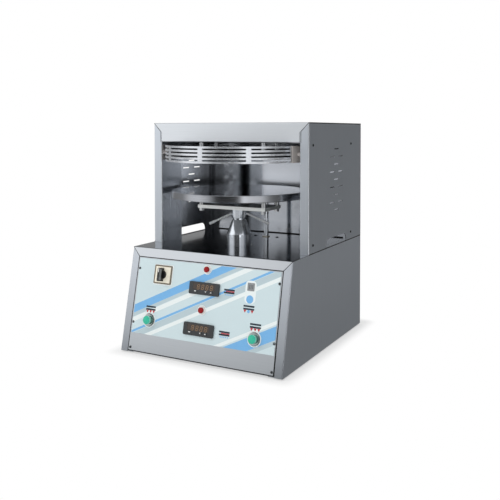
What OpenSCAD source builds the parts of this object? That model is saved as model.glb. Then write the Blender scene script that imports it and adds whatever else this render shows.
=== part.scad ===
// Pizza dough press: a heated round plate rises on a column against a fixed heated plate.
// Millimetres, +Z up, the sloping control panel faces -Y. The origin is under the middle of the whole object.

/* [Cabinet] */
// Height of the base from its bottom edge to the deck
base_h = 238; // [225:1:270]
// Height of the hood above the deck
hood_h = 299; // [290:1:340]
// How far the top of the sloping front lies behind its bottom
front_setback = 52; // [30:1:70]
// How far the hood's front lies behind the bottom front edge
hood_setback = 136; // [110:1:150]
// Thickness of the folded stainless sheet
sheet_t = 1.5; // [1:0.1:2]
// Outer radius of the folds in the sheet
fold_r = 2.4; // [2.2:0.1:4]
// Width of the base's side flanges beside the control panel
side_flange_w = 19.7; // [15:0.1:26]
// Height of the deck's front flange above the control panel
top_flange_w = 21.3; // [15:0.1:26]
// Visible gap round the control panel
panel_gap = 1.2; // [0.6:0.1:2]
// Hairline gap in mitres and butted seams
seam = 0.4; // [0.2:0.1:0.8]
// Width of the ledges that carry the control panel
ledge_w = 14; // [10:1:18]
// Width of hidden flanges for screws
hem_w = 14; // [10:1:18]
// Radius of the screw shanks
screw_r = 2; // [1.5:0.1:2.5]
// Radius of the screw heads
screw_head_r = 3; // [2.6:0.1:4]
// Height of the screw heads
screw_head_h = 1.4; // [1:0.1:2]

/* [Feet] */
// Height of the rubber feet below the base
foot_h = 3; // [2:0.5:12]
// Diameter of a foot
foot_d = 36; // [25:1:50]
// Distance of a foot's centre from the sides and the ends
foot_inset = 48; // [42:1:70]

/* [Hood] */
// Width of the hood's front flanges
hood_flange_w = 22.7; // [18:0.1:30]
// Depth of the returns behind those flanges
hood_return_d = 88; // [60:1:100]
// Height of the header over the opening
header_h = 47; // [40:1:60]
// Depth of the lip folded back under the header
header_lip_d = 10; // [6:1:12]
// Gap between the guard ring and the inner back wall
back_gap = 39.5; // [30:0.5:50]
// Depth of the rear bay behind the inner back wall
rear_bay_d = 69; // [62:1:80]
// Depth of the top cover's rear fold
rear_fold_h = 20; // [14:1:30]
// Distance of the back panel's screws from its ends and from the deck
back_screw_inset = 30; // [20:1:40]
// Length of a vent slot
vent_l = 30; // [20:1:34]
// Width of a vent slot
vent_w = 3; // [2.5:0.5:5]
// Spacing of the rows of vents, as a share of the hood's height
vent_pitch_share = 0.0622; // [0.05:0.0001:0.063]
// Distance of the paired vents from the middle of their column
vent_side = 26.9; // [20:0.1:32]
// Rows of vents, single and paired by turns
vent_rows = 9; // [5:2:9]
// Height of the lowest vent above the deck, as a share of the hood's height
vent_rise_share = 0.291; // [0.25:0.001:0.32]
// Middle of the vents and of the cut-out, as a share of the depth inside the hood
vent_share = 0.61; // [0.58:0.01:0.63]
// Length of the cut-out at the deck
cutout_l = 137; // [100:1:150]
// Height of the cut-out at the deck
cutout_h = 21; // [18:1:30]
// Radius of the cut-out's upper corners
cutout_r = 17; // [10:1:18]
// Depth of the posts inside the front pillars
post_d = 34; // [28:1:40]
// Height of the side screws from the deck and from the header's bottom line
side_screw_inset = 19; // [10:1:30]

/* [Plates] */
// Diameter of both plates
plate_d = 330; // [300:1:340]
// Thickness of the lower plate
lower_plate_t = 16.5; // [14:0.5:20]
// Thickness of the upper plate
upper_plate_t = 18; // [16:0.5:22]
// Bevel on the plates' edges
plate_bevel = 1; // [0.5:0.1:2]
// Height of the upper plate's face above the ring's bottom edge
upper_plate_rise = 7.2; // [4:0.1:10]
// Press axis behind the hood's front
axis_back = 58.5; // [50:0.5:64]
// Travel of the lift
lift_stroke = 75; // [60:1:78]
// Travel of the thickness adjustment
adjust_travel = 3; // [2:0.5:4]
// Gap left between the plates when fully closed
closed_gap = 1; // [0.5:0.5:3]
// Width of the rim round the heater pockets
pocket_rim = 15; // [13:0.5:25]
// Depth of the heater pockets
pocket_depth = 8; // [6:0.5:9]
// Thickness of the heaters
heater_t = 4; // [3:0.5:5]
// Radius of the hole in the middle of the heaters
heater_hole_r = 40; // [20:1:60]
// Thickness of the pocket covers
cover_t = 1.2; // [0.8:0.1:2]
// Overlap of a pocket cover on its plate
cover_lap = 6; // [3:0.5:10]

/* [Bracket] */
// Bolt spacing of both plates across the machine
bolt_x = 172; // [150:1:180]
// Bolt spacing of both plates front to back
bolt_y = 70; // [60:1:80]
// Bracket edge beyond the bolts
bolt_edge = 7; // [7:0.5:12]
// Thickness of the bracket
bracket_t = 8; // [6:0.5:12]
// Height of the spacers between bracket and plate
spacer_h = 20.5; // [16:0.5:24]
// Radius of a spacer and of the bosses in the pockets
boss_r = 6; // [5:0.5:6.5]
// Radius of the plate bolts and hanger studs
stud_r = 4; // [3:0.5:4.5]
// Height of the bolt heads and stud nuts
nut_h = 7; // [5:0.5:8]
// Depth of the bolts and studs in the plates
stud_bite = 7; // [5:0.5:8]

/* [Column] */
// Radius of the column
column_r = 30.5; // [28:0.5:32]
// Straight part of the column above the deck, as a share of its height there
column_straight_share = 0.42; // [0.2:0.01:0.5]
// Radius of the column's neck
neck_r = 17.2; // [16:0.1:20]
// Height of the adjusting collar
collar_h = 24; // [20:1:30]
// Radius of the collar at its bottom
collar_r0 = 17.7; // [16.5:0.1:20]
// Radius of the collar at its top
collar_r1 = 20.2; // [18:0.1:24]
// Radius of the bracket's stem
stem_r = 12; // [10:0.5:13]
// Length of the stem inside the column
stem_in = 40; // [25:1:40]
// Radial running clearance of shafts
run_fit = 0.06; // [0.03:0.01:0.09]
// Gap between faces that turn on each other
face_gap = 0.2; // [0.1:0.1:0.5]
// Gap between the column's bottom and the frame's foot plate, lowered
column_clear = 5; // [2:0.5:10]
// Lever rod radius
lever_r = 2.6; // [2:0.1:4]
// Depth of the levers in the collar
lever_bite = 4; // [3:0.5:4.5]
// Lever tip radius
lever_tip_r = 3.6; // [3:0.1:5]
// Length of a lever tip
lever_tip_l = 14; // [8:1:25]
// Reach of a lever from the column's axis
lever_reach = 73; // [50:1:90]
// Fall of the levers, as a share of their roots' height above the deck
lever_fall_share = 0.351; // [0:0.001:0.5]
// Turn of the levers from the machine's width
lever_turn = 28; // [0:1:90]
// Height of the lever roots above the collar's bottom
lever_rise = 13; // [10:0.5:16]
// Guide rod radius
rod_r = 6.2; // [5:0.1:8]
// Distance of the guide rod from the plates' edge
rod_inset = 18; // [15:0.5:30]
// Length of the guide rod below the deck, lowered
rod_below = 125; // [115:1:140]
// Length of the guide rod's bush below the deck
bush_l = 30; // [20:1:32]
// Wall of the guide rod's bush
bush_wall = 6; // [4:0.5:8]
// Thickness of the bush's flange
bush_flange_t = 5; // [4:0.5:8]
// Distance of the bush's screws from the rod
bush_screw_x = 32; // [25:1:40]

/* [Guard] */
// Distance of the ring's outside from the plates' edge
plate_ring_gap = 14; // [10:0.5:15]
// Gap between the ring and the returns of the hood's front
ring_side_gap = 10.3; // [8:0.1:16]
// Gap between the header's bottom and the ring
ring_gap = 7; // [4:0.5:10]
// Height of a bar of the ring
ring_bar_h = 4.6; // [3.5:0.1:6]
// Number of bars
ring_bars = 5; // [4:1:6]
// Height of a slot between bars
ring_slot_h = 3.8; // [3:0.1:5]
// Thickness of the ring
ring_t = 2; // [1.5:0.1:3]
// Number of upright posts
ring_posts = 10; // [6:1:12]
// Width of an upright post
ring_post_w = 12; // [8:1:20]
// Width of a guard bracket
guard_w = 48; // [30:1:54]
// Direction of the guard brackets from the front
guard_turn = 78; // [70:1:90]
// Thickness of a guard bracket
guard_t = 2; // [1.5:0.1:3]
// Radius of a guard standoff
standoff_r = 5; // [4:0.5:8]

/* [Press frame] */
// Thickness of a frame cheek
cheek_t = 12; // [10:1:15]
// Half the distance between the cheeks' middles
cheek_x = 60; // [58:1:66]
// Height of a cheek's upper arm
arm_h = 32; // [28:1:34]
// Depth of a cheek's upright
upright_d = 52; // [44:1:54]
// Front edge of the cheeks' lower web ahead of the press axis
web_front = 54; // [50:1:60]
// Thickness of the top and guide plates
frame_plate_t = 10; // [8:1:12]
// Gap between the frame and the sheet around it
frame_gap = 3; // [2:0.5:5]
// Wall of the column's guide sleeve
sleeve_wall = 11; // [8:0.5:14]
// Radius of the sleeve's flange beyond its body
sleeve_flange = 8; // [6:0.5:10]
// Thickness of the sleeve's flange
sleeve_flange_t = 8; // [6:0.5:10]

/* [Drive] */
// Module of the rack and the pinion
gear_m = 3; // [2.5:0.5:3]
// Teeth of the pinion
gear_z = 18; // [18:1:20]
// Backlash of the mesh
backlash = 0.3; // [0.2:0.05:0.5]
// Distance of the rack's pitch line from the column's axis
rack_pitch_r = 24; // [22:0.5:25]
// Width of the pinion
pinion_w = 24; // [16:1:30]
// Radius of the pinion shaft
shaft_r = 10; // [8:0.5:12]
// Radius of the shaft bushes
shaft_bush_r = 15; // [14:0.5:18]
// Length of rack below the pinion at the top of the lift
rack_end = 21; // [19:1:30]
// Distance of the shaft's end from the left cheek's outside
shaft_inset = 2; // [1:0.5:4]
// Distance of the shaft's end from the gearbox's outside
gearbox_wall = 12; // [6:0.5:16]
// Radius of the gearbox round the pinion shaft
gearbox_r = 46; // [40:1:50]
// Width of the gearbox
gearbox_w = 70; // [60:1:80]
// Radius of the worm housing
worm_r = 20; // [16:1:24]
// Height of the worm above the pinion shaft
worm_rise = 40; // [34:1:44]
// Radius of the motor
motor_r = 40; // [34:1:42]
// Length of the motor
motor_l = 120; // [90:1:130]
// Width of a rail device
device_w = 44; // [30:1:48]
// Depth of a rail device
device_d = 50; // [40:1:60]
// Height of a rail device
device_h = 76; // [60:1:90]
// Gap between rail devices
device_gap = 4; // [2:0.5:8]
// Step at the top and bottom of a rail device
device_step = 13; // [8:0.5:18]

/* [Panel controls] */
// Height of the upper controller, as a share of the panel's height
upper_share = 0.7435; // [0.72:0.0005:0.76]
// Height of the lower controller, as a share of the panel's height
lower_share = 0.332; // [0.31:0.0005:0.35]
// Sideways place of the upper controller
upper_x = 0.5; // [-5:0.5:5]
// Sideways place of the lower controller
lower_x = -3; // [-5:0.5:5]
// Height of the lamps above their controllers, as a share of the panel's height
lamp_share = 0.1945; // [0.18:0.0005:0.2]
// Sideways place of the lamps from their controllers
lamp_shift = 1.9; // [-3:0.1:3]
// Width of a controller's front
ctrl_w = 78.5; // [74:0.5:82]
// Height of a controller's front
ctrl_h = 28; // [28:0.5:34]
// How far a controller's front stands proud
ctrl_out = 5; // [4:0.5:8]
// Depth of a controller's case behind the panel
ctrl_case_d = 56; // [40:1:70]
// Corner radius of a controller's front
ctrl_r = 3; // [2:0.5:5]
// Width of a display window
window_w = 58; // [50:0.5:60]
// Height of a display window
window_h = 14.5; // [13:0.5:15]
// Width of a controller key
key_w = 9; // [6:0.5:11]
// Height of a controller key
key_h = 4; // [3:0.5:5]
// Height of the controller keys above the front's lower edge
key_rise = 5; // [2:0.5:5]
// Sideways place of the set key
key_set_x = -22; // [-26:0.5:-16]
// Sideways place of the down key
key_down_x = 6; // [0:0.5:6]
// Sideways place of the up key
key_up_x = 19.5; // [18:0.5:24]
// Travel of a controller key
key_travel = 0.5; // [0.3:0.1:0.8]
// Radius of a lamp's lens
lamp_r = 6.6; // [5:0.1:8]
// How far a lamp's lens stands proud
lens_out = 8; // [5:0.5:10]
// Radius of a lamp's bezel
lamp_bezel_r = 10; // [9:0.5:13]
// Distance of the push buttons from the panel's sides
button_inset = 52.1; // [40:0.1:60]
// Height of the push buttons, as a share of the panel's height
button_share = 0.3392; // [0.3:0.0001:0.38]
// Shift of both push buttons to the right
button_shift = -1.8; // [-3:0.1:3]
// Height of the left push button above the right one
button_skew = 6; // [0:0.5:8]
// Radius of a push button's cap
button_r = 9.6; // [9.2:0.1:12]
// Radius of a push button's bezel
bezel_r = 14.8; // [14:0.1:17]
// How far a bezel stands proud
bezel_out = 4.5; // [4:0.5:9]
// How far a cap stands out of its bezel
cap_out = 8.5; // [4.2:0.1:10]
// Travel of a push button
button_travel = 4; // [3:0.5:4]
// Radius of the hole behind a push button
button_hole_r = 11; // [10:0.1:11]
// Width of a push button's contact block
button_block_w = 30; // [26:1:36]
// Height and depth of a push button's contact block
button_block_h = 40; // [30:1:44]
// Distance of the rotary switch from the panel's left side
switch_inset = 74.6; // [60:0.1:90]
// Distance of the rotary switch from the panel's top
switch_drop = 36.4; // [35:0.1:48]
// Side of the switch's contact block
switch_block_w = 40; // [34:1:41]
// Depth of the switch's contact block
switch_block_d = 45; // [30:1:60]
// Width of the switch's frame
switch_w = 48; // [42:0.5:52]
// Height of the switch's frame
switch_h = 43; // [40:0.5:48]
// Width of the frame's border
switch_border = 3; // [2:0.1:5]
// How far the switch's frame stands proud
switch_out = 3; // [2:0.5:5]
// Radius of the switch knob's disc
knob_r = 10; // [9:0.5:14]
// How far the switch knob stands out of its face
knob_out = 18.5; // [10:0.5:26]
// Width of the knob's grip
grip_w = 5.5; // [5:0.5:10]
// Length of the knob's grip
grip_l = 31; // [22:0.5:33]
// Distance of the timer window from the panel's right side
timer_inset = 73.4; // [60:0.1:90]
// Distance of the timer window from the panel's top
timer_drop = 40.7; // [30:0.1:48]
// Side of the timer window
timer_w = 15; // [12:0.5:20]
// Thickness of the printed overlay
overlay_t = 0.5; // [0.3:0.1:1]
// Distance of the overlay from the panel's sides
overlay_inset = 3.6; // [2:0.1:8]
// Distance of the overlay from the panel's top
overlay_drop = 2.6; // [1:0.1:6]
// Bare strip below the overlay, as a share of the panel's height
overlay_share = 0.2013; // [0.15:0.0001:0.24]
// Distance of the panel's screws from its sides
panel_screw_inset = 5.6; // [5:0.1:8]
// Distance of the lowest screws from the panel's bottom
panel_screw_low = 8.7; // [6:0.1:12]
// Height of the middle screws, as a share of the panel's height
panel_screw_share = 0.312; // [0.28:0.001:0.4]
// Distance of the highest screws from the panel's top
panel_screw_drop = 27; // [10:0.5:40]
// Play round a device in its hole
device_play = 0.2; // [0.1:0.1:0.5]
// Depth cut on each side of the panel for its devices
cut_reach = 5; // [4:0.5:8]

/* [Mains inlet] */
// How far the cable gland stands out of the back
gland_out = 22; // [16:1:40]
// Radius of the gland's bore
gland_bore_r = 6; // [4:0.5:8]
// Radius of the gland's body
gland_r = 11; // [10.5:0.5:14]
// Sideways place of the gland
gland_x = -120; // [-150:1:-90]
// Height of the gland above the base's bottom edge
gland_z = 45; // [35:1:80]

/* [Hidden] */
$fn = 64;

ring_d = plate_d + 2 * plate_ring_gap;
hood_inner_x = ring_d / 2 + ring_side_gap;
half_w = hood_inner_x + hood_flange_w;
axis_y = hood_setback + axis_back;
back_wall_y = axis_y + ring_d / 2 + back_gap;
body_d = back_wall_y + rear_bay_d;
top_z = base_h + hood_h;
y_mid = (body_d + gland_out) / 2;
lean = atan(front_setback / base_h);
slope_l = sqrt(front_setback * front_setback + base_h * base_h);
far = 2 * body_d;
eps = 0.01;
fold_steps = 6;
lap = sheet_t / 4;

panel_x = half_w - side_flange_w - panel_gap;
panel_s0 = 2;
panel_s1 = slope_l - top_flange_w - panel_gap;
panel_screw_x = panel_x - panel_screw_inset;
panel_screw_s = [panel_s0 + panel_screw_low, panel_s1 * panel_screw_share, panel_s1 - panel_screw_drop];
overlay_x = panel_x - overlay_inset;
overlay_s0 = panel_s1 * overlay_share;
overlay_s1 = panel_s1 - overlay_drop;
switch_x = switch_inset - panel_x;
switch_s = panel_s1 - switch_drop;
timer_x = panel_x - timer_inset;
timer_s = panel_s1 - timer_drop;

back_x = half_w - sheet_t - seam;
header_z = top_z - header_h;
vent_y = hood_setback + vent_share * (back_wall_y - hood_setback);
vent_pitch = hood_h * vent_pitch_share;
vent_rise = hood_h * vent_rise_share;
post_y = hood_setback + 6;
post_x = half_w - sheet_t;
post_in_x = hood_inner_x + sheet_t + 1;
side_screw_y = [post_y + post_d / 2, back_wall_y - hem_w / 2];
side_screw_z = [base_h + side_screw_inset, header_z - 5];

ring_h = ring_bars * ring_bar_h + (ring_bars - 1) * ring_slot_h;
ring_z = header_z - ring_gap - ring_h;
upper_z = ring_z + upper_plate_rise;
upper_top_z = upper_z + upper_plate_t;
lower_top_z = upper_z - closed_gap - adjust_travel - lift_stroke;
lower_bottom_z = lower_top_z - lower_plate_t;
bracket_top_z = lower_bottom_z - spacer_h;
bracket_z = bracket_top_z - bracket_t;
collar_z = bracket_z - face_gap - collar_h;
column_top_z = collar_z - face_gap;
lever_z = collar_z + lever_rise;
lever_drop = atan(lever_fall_share * (lever_z - base_h) / (lever_reach - collar_r0 + lever_bite));
shoulder_z = base_h + column_straight_share * (column_top_z - base_h);
rod_y = axis_y + plate_d / 2 - rod_inset;
bush_lip_r = rod_r + 0.6 * bush_wall;
pocket_d = plate_d - 2 * pocket_rim;

arm_top_z = top_z - sheet_t - frame_gap;
arm_z = arm_top_z - arm_h;
top_plate_z = arm_z - frame_plate_t;
web_top_z = base_h - sheet_t - 0.5;
tray_z = 2 * sheet_t;
tray_front = 4 * sheet_t;
tray_lip = sheet_t / cos(lean) + 2 * sheet_t * tan(lean) + eps;
upright_y1 = body_d - sheet_t - frame_gap;
upright_y0 = upright_y1 - upright_d;
cheek_in = cheek_x - cheek_t / 2;
cheek_out = cheek_x + cheek_t / 2;
sleeve_r = column_r + run_fit + sleeve_wall;
sleeve_top_z = web_top_z;
guide_z = sleeve_top_z - sleeve_flange_t - frame_plate_t;

pitch_r = gear_m * gear_z / 2;
tip_r = pitch_r + gear_m;
root_r = pitch_r - 1.25 * gear_m;
pressure_angle = 20;
base_circle_r = pitch_r * cos(pressure_angle);
rack_pitch = PI * gear_m;
column_foot = tray_z + frame_plate_t + column_clear;
pinion_h = column_foot + lift_stroke + rack_end;
pinion_y = axis_y + rack_pitch_r + pitch_r;
sleeve_z = pinion_h + tip_r + 5;
rack_reach = sqrt(tip_r * tip_r - (pitch_r - gear_m) * (pitch_r - gear_m));
rack_gaps_up = ceil(rack_reach / rack_pitch);
rack_gaps_down = ceil((lift_stroke + rack_reach) / rack_pitch);
rack_flat_z = pinion_h + tip_r + 1;
gearbox_x = cheek_out;
gearbox_end_x = gearbox_x + gearbox_w;
worm_x = gearbox_x + gearbox_w / 2 + 10;
worm_z = pinion_h + worm_rise;
worm_y1 = pinion_y + gearbox_r + 10;

ctrl_places = [[upper_x, panel_s1 * upper_share], [lower_x, panel_s1 * lower_share]];
lamp_places = [for (p = ctrl_places) p + [lamp_shift, panel_s1 * lamp_share]];
button_places = [for (sx = [-1, 1]) [sx * (panel_x - button_inset) + button_shift,
  panel_s1 * button_share - sx * button_skew / 2]];
case_w = ctrl_w - 4;
case_h = ctrl_h - 3;
window_rise = ctrl_h / 2 - window_h / 2 - 3;
key_drop = -ctrl_h / 2 + key_h / 2 + key_rise;
key_gap = 0.25;
key_proud = 0.7;
key_pocket = 2.4;
lamp_hole_r = lamp_r - 1;
switch_face_w = switch_w - 2 * switch_border;
switch_face_h = switch_h - 2 * switch_border;
switch_hole_r = 7;
knob_stem_r = 4;
knob_stem_in = 6;
barrel_l = 20;
foot_x = half_w - foot_inset;
back_screw_places = [for (sx = [-1, 1], z = [2 * back_screw_inset, base_h - back_screw_inset,
  base_h + back_screw_inset, top_z - rear_fold_h - back_screw_inset])
  [sx * (half_w - sheet_t - hem_w / 2), z]];
key_places = [key_set_x, key_down_x, key_up_x];
bolt_places = [for (sx = [-1, 1], sy = [-1, 1]) [sx * bolt_x / 2, sy * bolt_y / 2]];

// Frames

// y from the base's bottom front edge, z from its bottom edge
module cabinet() {
  translate([0, -y_mid, foot_h]) children();
}

// x across, y into the machine square to the control panel, z up the slope
module panel_frame() {
  cabinet() rotate([-lean, 0, 0]) children();
}

module on_panel(place) {
  panel_frame() translate([place[0], 0, place[1]]) children();
}

module on_axis(z = 0) {
  cabinet() translate([0, axis_y, z]) children();
}

// Turns a shape drawn along +z to point out of the panel
module outward() {
  rotate([90, 0, 0]) children();
}

// Turns a shape drawn along +z to point into the panel
module inward() {
  rotate([-90, 0, 0]) children();
}

// Extrudes an outline drawn in y and z across the machine
module across(x0, x1) {
  translate([x0, 0, 0]) rotate([90, 0, 90]) linear_extrude(x1 - x0) children();
}

module both_sides() {
  children();
  mirror([1, 0, 0]) children();
}

// Shared shapes

module box(x, y, z) {
  translate([x[0], y[0], z[0]]) cube([x[1] - x[0], y[1] - y[0], z[1] - z[0]]);
}

module round_rect(w, h, r) {
  square([w - 2 * r, h], center = true);
  square([w, h - 2 * r], center = true);
  for (sx = [-1, 1], sy = [-1, 1])
    translate([sx * (w / 2 - r), sy * (h / 2 - r)]) circle(r);
}

// Rounded block with its front at -out and its back at depth, seen from the front as w by h
module round_block(w, h, r, out, depth) {
  translate([0, -out, 0]) inward() linear_extrude(out + depth) round_rect(w, h, r);
}

module slot_shape(l, w) {
  square([l - w, w], center = true);
  for (s = [-1, 1]) translate([s * (l - w) / 2, 0]) circle(w / 2);
}

module tube(r1, r2, h) {
  difference() {
    cylinder(r = r1, h = h);
    translate([0, 0, -1]) cylinder(r = r2, h = h + 2);
  }
}

function unit(v) = v / norm(v);
function left_of(v) = [-v[1], v[0]];
function at_angle(r, a) = [r * cos(a), r * sin(a)];

// Cross-section of a folded sheet: the points run along its outer face, every fold turns left
module folded_sheet(points, t, r) {
  last = len(points) - 1;
  dirs = [for (i = [0 : last - 1]) unit(points[i + 1] - points[i])];
  bends = [for (i = [1 : last - 1]) let (
      d0 = dirs[i - 1],
      turn = acos(d0 * dirs[i]),
      centre = points[i] - r * tan(turn / 2) * d0 + r * left_of(d0),
      start = atan2(-left_of(d0)[1], -left_of(d0)[0])
    ) [centre, start, turn]];
  inner_first = points[0] + t * left_of(dirs[0]);
  inner_last = points[last] + t * left_of(dirs[last - 1]);
  polygon(concat(
    [points[0]], [for (b = bends) each bend_arc(b, r, false)], [points[last]],
    [inner_last], [for (i = [last - 2 : -1 : 0]) each bend_arc(bends[i], r - t, true)], [inner_first]
  ));
}

// Points of one bend, given as [centre, start angle, turn], at radius r
function bend_arc(b, r, back) = [for (k = [0 : fold_steps])
  b[0] + at_angle(r, b[1] + b[2] * (back ? fold_steps - k : k) / fold_steps)];

// Screw with its head's underside at z = 0 and its shank along -z
module screw(l) {
  rotate_extrude() polygon([
    [0, -l], [screw_r - 0.1, -l], [screw_r - 0.1, 0], [screw_head_r, 0],
    [screw_head_r, screw_head_h * 0.5], [screw_head_r * 0.6, screw_head_h], [0, screw_head_h]
  ]);
}

module screw_hole(l) {
  translate([0, 0, -l]) cylinder(r = screw_r, h = 2 * l);
}

// Feet and base

module rubber_feet() {
  color("dimgray") cabinet()
    for (x = [-foot_x, foot_x], y = [foot_inset, body_d - foot_inset])
      translate([x, y, -foot_h]) rotate_extrude() polygon([
        [0, 0], [foot_d / 2 - 1.5, 0], [foot_d / 2, 1.5], [foot_d / 2, foot_h + sheet_t], [0, foot_h + sheet_t]
      ]);
}

module base_tray() {
  color("gainsboro") union() {
    cabinet() across(-back_x, back_x) folded_sheet([
      [tray_front, sheet_t], [body_d - sheet_t - seam, sheet_t], [body_d - sheet_t - seam, sheet_t + hem_w]
    ], sheet_t, fold_r);
    panel_frame() box([-panel_x + ledge_w + 4, panel_x - ledge_w - 4], [sheet_t, 2 * sheet_t],
      [sheet_t, panel_s0 + ledge_w]);
    cabinet() box([-panel_x + ledge_w + 4, panel_x - ledge_w - 4], [tray_lip, 2 * tray_front],
      [sheet_t, 2 * sheet_t]);
  }
}

// Skin outline of a base side, run forward past the sloping front, which the folded flange bounds
module base_side_outline() {
  ahead = 30;
  polygon([
    [-ahead, 0], [body_d, 0], [body_d, base_h - sheet_t], [-ahead, base_h - sheet_t]
  ]);
}

module panel_screw_holes() {
  for (x = [-panel_screw_x, panel_screw_x], s = panel_screw_s)
    on_panel([x, s]) outward() screw_hole(3 * sheet_t);
}

// Right-hand base side; the left one is its mirror image
module base_side() {
  difference() {
    union() {
      intersection() {
        panel_frame() translate([0, 0, -far / 2]) linear_extrude(far) folded_sheet([
          [half_w - side_flange_w, 0], [half_w, 0], [half_w, far]
        ], sheet_t, fold_r);
        cabinet() across(0, far) base_side_outline();
      }
      intersection() {
        panel_frame() union() {
          box([panel_x - ledge_w, panel_x], [sheet_t, 2 * sheet_t], [0, panel_s1]);
          box([panel_x - lap, half_w - side_flange_w + 4], [sheet_t, 2 * sheet_t], [0, panel_s1]);
          box([half_w - side_flange_w + lap, half_w - side_flange_w + 4], [sheet_t - lap, 2 * sheet_t],
            [0, panel_s1]);
        }
        cabinet() across(0, far) base_side_outline();
      }
      cabinet() box([half_w - hem_w, half_w - sheet_t / 2], [tray_front, body_d - 2 * sheet_t], [0, sheet_t]);
      cabinet() box([half_w - hem_w, half_w - sheet_t / 2], [body_d - 2 * sheet_t, body_d - sheet_t],
        [3 * sheet_t + hem_w, base_h - sheet_t]);
    }
    panel_frame() translate([0, fold_r, 0]) outward() linear_extrude(4 * sheet_t) polygon([
      [half_w - top_flange_w - 6, slope_l - top_flange_w - 6 - seam], [half_w + 6, slope_l + 6 - seam],
      [half_w - top_flange_w - 6, slope_l + 6 - seam]
    ]);
    panel_screw_holes();
    back_screw_holes();
  }
}

module base_right_side() {
  color("darkgray") base_side();
}

module base_left_side() {
  color("darkgray") mirror([1, 0, 0]) base_side();
}

module deck_cuts() {
  on_axis(base_h) cylinder(r = column_r + 1, h = 8 * sheet_t, center = true);
  cabinet() translate([0, rod_y, base_h])
    cylinder(r = bush_lip_r + device_play, h = 8 * sheet_t, center = true);
  for (sx = [-1, 1]) cabinet() {
    box([sx * cheek_x - cheek_t / 2 - 1, sx * cheek_x + cheek_t / 2 + 1], [upright_y0 - 1, upright_y1 + 1],
      [base_h - 4 * sheet_t, base_h + 1]);
    translate([sx * bush_screw_x, rod_y, base_h]) screw_hole(4 * sheet_t);
  }
}

module base_deck() {
  color("silver") difference() {
    union() {
      cabinet() across(-half_w, half_w) folded_sheet([
        [body_d - sheet_t - seam, base_h], [front_setback, base_h],
        [front_setback - top_flange_w * sin(lean), base_h - top_flange_w * cos(lean)]
      ], sheet_t, fold_r);
      panel_frame() box([-panel_x + ledge_w + 4, panel_x - ledge_w - 4], [sheet_t, 2 * sheet_t],
        [panel_s1 - ledge_w, panel_s1 + 6]);
      panel_frame() box([-panel_x + ledge_w + 4, panel_x - ledge_w - 4], [sheet_t - lap, 2 * sheet_t],
        [slope_l - top_flange_w + lap, panel_s1 + 6]);
    }
    both_sides() panel_frame() translate([0, 2 * sheet_t, 0]) outward() linear_extrude(4 * sheet_t) polygon([
      [half_w - top_flange_w - 6, slope_l - top_flange_w - 6], [half_w + eps, slope_l], [half_w + 6, slope_l],
      [half_w + 6, slope_l - top_flange_w - 6]
    ]);
    for (p = lamp_places) on_panel(p) outward()
      cylinder(r = lamp_bezel_r - 2, h = 4 * lamp_bezel_r, center = true);
    deck_cuts();
  }
}

module back_screw_holes() {
  cabinet() for (p = back_screw_places)
    translate([p[0], body_d, p[1]]) inward() screw_hole(4 * sheet_t);
}

module back_panel() {
  slot_l = 60;
  slot_w = 5;
  slot_pitch = 14;
  color("silver") difference() {
    cabinet() box([-back_x, back_x], [body_d - sheet_t, body_d], [seam, top_z - rear_fold_h - seam]);
    cabinet() for (sx = [-1, 1], i = [0 : 5])
      translate([sx * half_w / 2, body_d, base_h - 60 - i * slot_pitch]) inward()
        linear_extrude(4 * sheet_t, center = true) slot_shape(slot_l, slot_w);
    cabinet() translate([gland_x, body_d, gland_z]) inward()
      cylinder(r = gland_bore_r + 2 + eps, h = 4 * sheet_t, center = true);
    back_screw_holes();
  }
}

// Control panel

module panel_device_cuts(extra) {
  play = device_play + extra;
  for (p = ctrl_places) on_panel(p)
    round_block(case_w + 2 * play, case_h + 2 * play, 1 + play, cut_reach, cut_reach);
  for (p = lamp_places) on_panel(p) outward()
    cylinder(r = lamp_hole_r + play, h = 2 * cut_reach, center = true);
  for (p = button_places) on_panel(p) outward()
    cylinder(r = button_hole_r + play, h = 2 * cut_reach, center = true);
  on_panel([switch_x, switch_s]) outward()
    cylinder(r = switch_hole_r + play, h = 2 * cut_reach, center = true);
  on_panel([timer_x, timer_s])
    round_block(timer_w + 2 * play, timer_w + 2 * play, 1 + play, cut_reach, cut_reach);
}

module control_panel() {
  color("lightgray") difference() {
    panel_frame() union() {
      box([-panel_x, panel_x], [0, sheet_t], [panel_s0, panel_s1]);
      box([-panel_x + ledge_w + 6, panel_x - ledge_w - 6], [0, hem_w], [panel_s0 + ledge_w + sheet_t,
        panel_s0 + ledge_w + 2 * sheet_t]);
    }
    panel_device_cuts(0);
    panel_screw_holes();
  }
}

module panel_overlay() {
  color("powderblue") difference() {
    panel_frame() box([-overlay_x, overlay_x], [-overlay_t, 0], [overlay_s0, overlay_s1]);
    panel_device_cuts(device_play);
    for (x = [-panel_screw_x, panel_screw_x], s = panel_screw_s)
      on_panel([x, s]) outward() cylinder(r = screw_head_r + device_play, h = 2 * cut_reach, center = true);
  }
}

// Hood

module side_vents() {
  for (row = [0 : vent_rows - 1]) {
    offsets = row % 2 == 0 ? [0] : [-vent_side, vent_side];
    for (dy = offsets)
      cabinet() translate([half_w, vent_y + dy, base_h + vent_rise + row * vent_pitch]) rotate([90, 0, 90])
        linear_extrude(6 * sheet_t, center = true) slot_shape(vent_l, vent_w);
  }
}

// Cut-out at the deck: square below, round at its upper corners
module side_cutout() {
  cabinet() translate([half_w, vent_y, base_h]) rotate([90, 0, 90])
    linear_extrude(6 * sheet_t, center = true) union() {
      translate([-cutout_l / 2, -1]) square([cutout_l, cutout_h - cutout_r + 1]);
      translate([-cutout_l / 2 + cutout_r, -1]) square([cutout_l - 2 * cutout_r, cutout_h + 1]);
      for (s = [-1, 1]) translate([s * (cutout_l / 2 - cutout_r), cutout_h - cutout_r]) circle(cutout_r);
    }
}

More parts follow.
